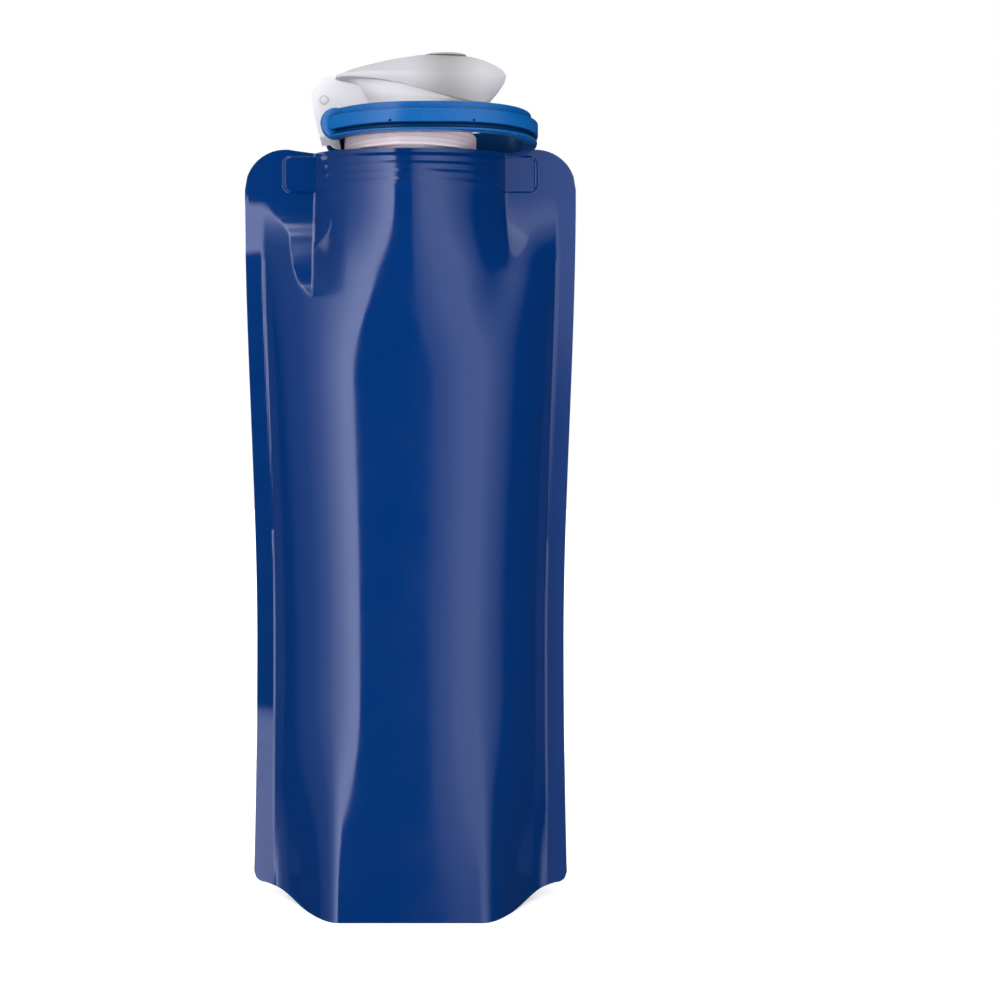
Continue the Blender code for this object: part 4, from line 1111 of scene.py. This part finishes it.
def sweep_leg(name, path):
    """Carry the leg's section along a path in plan, square to it."""
    rings = []
    for i, (x, y) in enumerate(path):
        ahead = path[min(i + 1, len(path) - 1)]
        behind = path[max(i - 1, 0)]
        run = Vector((ahead[0] - behind[0], ahead[1] - behind[1])).normalized()
        rings.append([(x + run.y * n, y - run.x * n, HOOK_Z + z) for n, z in leg_section()])
    return skin_rings(name, rings)


def loop_share(x):
    """Share of the path on its left part at which the loop has this x."""
    return LOOP_LEFT * (x - HOOK_X) / (LOOP_WIDEST_X - HOOK_X)


def nose_share(x):
    """Share of the path on its right part at which the loop has this x."""
    across = ((x - LOOP_WIDEST_X) / (LOOP_REACH - LOOP_WIDEST_X)) ** (LOOP_SQUARENESS / 2)
    return LOOP_LEFT + (1 - LOOP_LEFT) * asin(across) / (pi / 2)


def gate_hole_x(up):
    """The two ends of the wire enter the root at staggered places."""
    return GATE_ROOT_X - WIRE_R - 1.8 - (GATE_HOLE_STEP if up > 0 else 0.0)


def eye_skin(side):
    """The round end of a leg, on the hinge line."""
    inner = LOOP_END_HALF_WIDTH + 0.2
    outer = LOOP_END_HALF_WIDTH + LEG_THICK
    edge = 0.7
    levels = ((inner, EYE_R - edge), (inner + edge, EYE_R), (outer - edge, EYE_R),
              (outer - edge / 3, EYE_R - edge / 3), (outer, EYE_R - edge))
    return spindle("eye", (HOOK_X, HOOK_Z), [(side * out, radius) for out, radius in levels], 84)


def carabiner_skin():
    """Loop with a solid front leg; the back leg is open between its root and its nose."""
    front = [(x, -y) for x, y in (loop_point(i / 90) for i in range(1, 90))]
    front += [(LOOP_REACH, -LOOP_FLAT), (LOOP_REACH, LOOP_FLAT)]
    back = [loop_point(share) for share in spread(0.985, nose_share(GATE_TIP_X), 30)]
    made = sweep_leg("carabiner_skin", front + back)
    root = loop_share(GATE_ROOT_X)
    join(made, sweep_leg("arm", [loop_point(share) for share in spread(root, ARM_END, 24)]))
    for side in (-1, 1):
        join(made, eye_skin(side))
    reach = LOOP_END_HALF_WIDTH + 2
    join(made, spindle("cross_bar", (HOOK_X, HOOK_Z), ((-reach, BAR_R), (reach, BAR_R)), 56))
    clear = LEG_HALF_HEIGHT + 3
    nose_start = GATE_TIP_X - 4
    nose_end = GATE_TIP_X + NOSE_OVERLAP + 2 * WIRE_R
    for up in (-1, 1):
        low, high = sorted((HOOK_Z + up * BLOCK_HALF_HEIGHT, HOOK_Z + up * clear))
        hole_x = gate_hole_x(up)
        cut(made, block("root_cut", (hole_x - WIRE_R - 1.2, GATE_ROOT_Y - CUT_REACH, low),
                        (GATE_ROOT_X + 3, GATE_ROOT_Y + CUT_REACH, high)))
        cut(made, block("nose_cut", (nose_start, GATE_TIP_Y - CUT_REACH, low),
                        (nose_end, GATE_TIP_Y + CUT_REACH, high)))
        cut(made, post("wire_hole", WIRE_R + WIRE_PLAY, (hole_x, GATE_ROOT_Y),
                       HOOK_Z + up * (BLOCK_HALF_HEIGHT - 1.9),
                       HOOK_Z + up * (BLOCK_HALF_HEIGHT + 2), 28))
    face_y = -LOOP_HALF_WIDTH - LEG_THICK
    for x in DIMPLES:
        cut(made, spindle("dimple", (x, HOOK_Z + DIMPLE_RISE),
                          ((face_y - 2, DIMPLE_R), (face_y + 1.5, DIMPLE_R)), 20))
    catch = GATE_TIP_Y + WIRE_R + GAP
    cut(made, block("catch", (nose_start, catch - CUT_REACH, HOOK_Z - clear),
                    (nose_end, catch, HOOK_Z + clear)))
    return smoothed(made)


def wire_skin():
    """One bent wire, its two legs joined by a bow that rests behind the nose."""
    level = BLOCK_HALF_HEIGHT + GAP + WIRE_R
    tip_x = GATE_TIP_X + NOSE_OVERLAP
    crook = 0.9
    bow = 1.8

    def leg(up):
        hole = gate_hole_x(up)
        points = [(hole, GATE_ROOT_Y, BLOCK_HALF_HEIGHT - 1.5)]
        points += [(x, GATE_ROOT_Y, z)
                   for x, z in arc((hole + crook, level - crook), crook, 180, 90, 6)]
        points += [(mix(hole + crook, tip_x - bow, share), mix(GATE_ROOT_Y, GATE_TIP_Y, share), level)
                   for share in (0.25, 0.5, 0.75, 1.0)]
        points += [(x, GATE_TIP_Y, z)
                   for x, z in arc((tip_x - bow, level - bow), bow, 90, 0, 10)[1:]]
        return [(x, y, up * z) for x, y, z in points]

    path = [Vector((x, y, HOOK_Z + z)) for x, y, z in leg(1) + leg(-1)[::-1]]
    rings = []
    side = Vector((0, 1, 0))
    for i, spot in enumerate(path):
        run = (path[min(i + 1, len(path) - 1)] - path[max(i - 1, 0)]).normalized()
        across = (side - run * side.dot(run)).normalized()
        up = run.cross(across)
        rings.append([tuple(spot + across * a + up * b) for a, b in circle((0, 0), WIRE_R, 20)])
    return skin_rings("wire_skin", rings)


# The cap and its pin get a lighter copy of the frosted plastic than the lid: painted light that lifts
# the shade under the horn.
frosted = frosted_material("frosted_cap", (0.8, 0.8, 0.84), (0.77, 0.77, 0.8))
MOULDED = (
    (spout_skin, collar_material(), "pouch", "spout_fitment", "collar"),
    (gasket_skin, silicone_material("seal_silicone", (0.85, 0.30, 0.22)), "gasket_ring", "cap_gasket",
     "seal"),
    (cap_skin, frosted, "cap", "cap_body", "frosted"),
    (lid_skin, frosted_material("frosted_lid", (0.72, 0.72, 0.75), (0.5, 0.5, 0.51)), "lid",
     "flip_lid", "frosted"),
    (pin_skin, frosted, "cap", "lid_hinge_pin", "frosted"),
    (plug_skin, silicone_material("plug_rubber", (0.36, 0.35, 0.32)), "lid", "lid_plug", "plug"),
    (carabiner_skin, carabiner_material(), "carabiner", "carabiner_frame", "clip"),
    (wire_skin, steel_material(), "gate", "wire_gate", "wire"),
)
for maker, look, body, node_name, slot in MOULDED:
    dress(maker(), look, body, node_name)


# Studio
def glow(name):
    """A white material that only shines, with strength 1 until its lamp gets another."""
    made = bpy.data.materials.new(name)
    made.use_nodes = True
    tree = made.node_tree
    tree.nodes.remove(tree.nodes["Principled BSDF"])
    lamp = node(tree, "ShaderNodeEmission")
    tree.links.new(lamp.outputs["Emission"], tree.nodes["Material Output"].inputs["Surface"])
    return made, tree, lamp


def panel(name, corners, look):
    work = bmesh.new()
    work.faces.new([work.verts.new(corner) for corner in corners])
    mesh = bpy.data.meshes.new(name)
    work.to_mesh(mesh)
    work.free()
    mesh.materials.append(look)
    item = placed(name, mesh)
    return item


def soft_panel(name, near, far, low, high, strength, levels):
    """An upright softbox between two places in plan, with its glow at shares of its length."""
    corners = [(*near, low), (*far, low), (*far, high), (*near, high)]
    look, tree, lamp = glow(name)
    along = node(tree, "ShaderNodeUVMap")
    split = node(tree, "ShaderNodeSeparateXYZ")
    tree.links.new(along.outputs["UV"], split.inputs["Vector"])
    glows = node(tree, "ShaderNodeValToRGB")
    stops = glows.color_ramp.elements
    while len(stops) < len(levels):
        stops.new(1.0)
    for stop, (share, level) in zip(stops, levels):
        stop.position = share
        stop.color = (level, level, level, 1.0)
    tree.links.new(split.outputs["X"], glows.inputs["Fac"])
    power = sums(tree, "MULTIPLY", glows.outputs["Color"], strength)
    tree.links.new(power, lamp.inputs["Strength"])
    item = panel(name, corners, look)
    layer = item.data.uv_layers.new(name="along")
    for loop, spot in zip(layer.data, ((0, 0), (1, 0), (1, 1), (0, 1))):
        loop.uv = spot
    item.visible_camera = False


def on_circle(azimuth, distance):
    """A place in plan: azimuth 0 is the front, and it grows toward the right."""
    angle = radians(azimuth)
    return distance * sin(angle), -distance * cos(angle)


floor_look, floor_tree, floor_shader = material("floor", (0.8, 0.8, 0.8), 0.7,
                                                Emission_Color=(1.0, 1.0, 1.0, 1.0))
floor_place = node(floor_tree, "ShaderNodeTexCoord")
floor_reach = node(floor_tree, "ShaderNodeVectorMath", operation="LENGTH")
floor_tree.links.new(floor_place.outputs["Object"], floor_reach.inputs[0])
floor_tree.links.new(ramp(floor_tree, floor_reach.outputs["Value"], 0.5, 1.1, 0.15, 0.9),
                     floor_shader.inputs["Emission Strength"])
floor = panel("floor", [(-6, -6, 0), (6, -6, 0), (6, 6, 0), (-6, 6, 0)], floor_look)
floor.visible_glossy = False
backdrop = panel("backdrop", [(-6, 3.5, -1), (6, 3.5, -1), (6, 3.5, 6), (-6, 3.5, 6)],
                 glow("backdrop")[0])
backdrop.visible_glossy = False
soft_panel("left_box", on_circle(-17, 1.0), on_circle(-112, 1.0), -1.0, 2.6, 5.4,
           ((0.0, 1.0), (0.13, 0.9), (0.27, 0.55), (0.42, 0.24), (0.6, 0.08), (1.0, 0.0)))
soft_panel("right_box", on_circle(2, 1.2), on_circle(75, 1.2), -1.0, 2.6, 2.1,
           ((0.0, 0.4), (0.06, 0.5), (0.18, 0.9), (0.42, 1.0), (0.65, 0.5), (1.0, 0.0)))
soft_panel("upper_left_box", on_circle(-90, 0.98), on_circle(-135, 0.98), 0.42, 1.3, 1.6,
           ((0.0, 1.0), (1.0, 1.0)))

top_light = bpy.data.lights.new("top_box", "AREA")
top_light.shape = "RECTANGLE"
top_light.size = 1.2
top_light.size_y = 0.9
top_light.energy = 4
top_box = placed("top_box", top_light)
top_box.location = (0.0, -0.1, 1.3)
toward_bottle = Vector((0.0, 0.0, 0.2)) - top_box.location
top_box.rotation_euler = toward_bottle.to_track_quat("-Z", "Y").to_euler()

world = bpy.data.worlds.new("studio")
world.use_nodes = True
world_tree = world.node_tree
sky = world_tree.nodes["Background"]
give(sky, Color=(0.95, 0.97, 1.0, 1.0))
rays = node(world_tree, "ShaderNodeLightPath")
dim = ramp(world_tree, rays.outputs["Is Glossy Ray"], 0.35, 0.03, 0.0, 1.0)
world_tree.links.new(dim, sky.inputs["Strength"])
bpy.context.scene.world = world

camera_data = bpy.data.cameras.new("camera")
camera_data.lens = LENS_MM
camera_data.sensor_width = 36.0
camera_data.shift_x = AXIS_SHIFT
camera_data.shift_y = HORIZON_SHIFT
camera = placed("camera", camera_data)
camera.location = (0.0, -EYE_DISTANCE, EYE_HEIGHT)
camera.rotation_euler = (pi / 2, 0.0, 0.0)
bpy.context.scene.camera = camera
bpy.context.scene.view_settings.view_transform = "Standard"
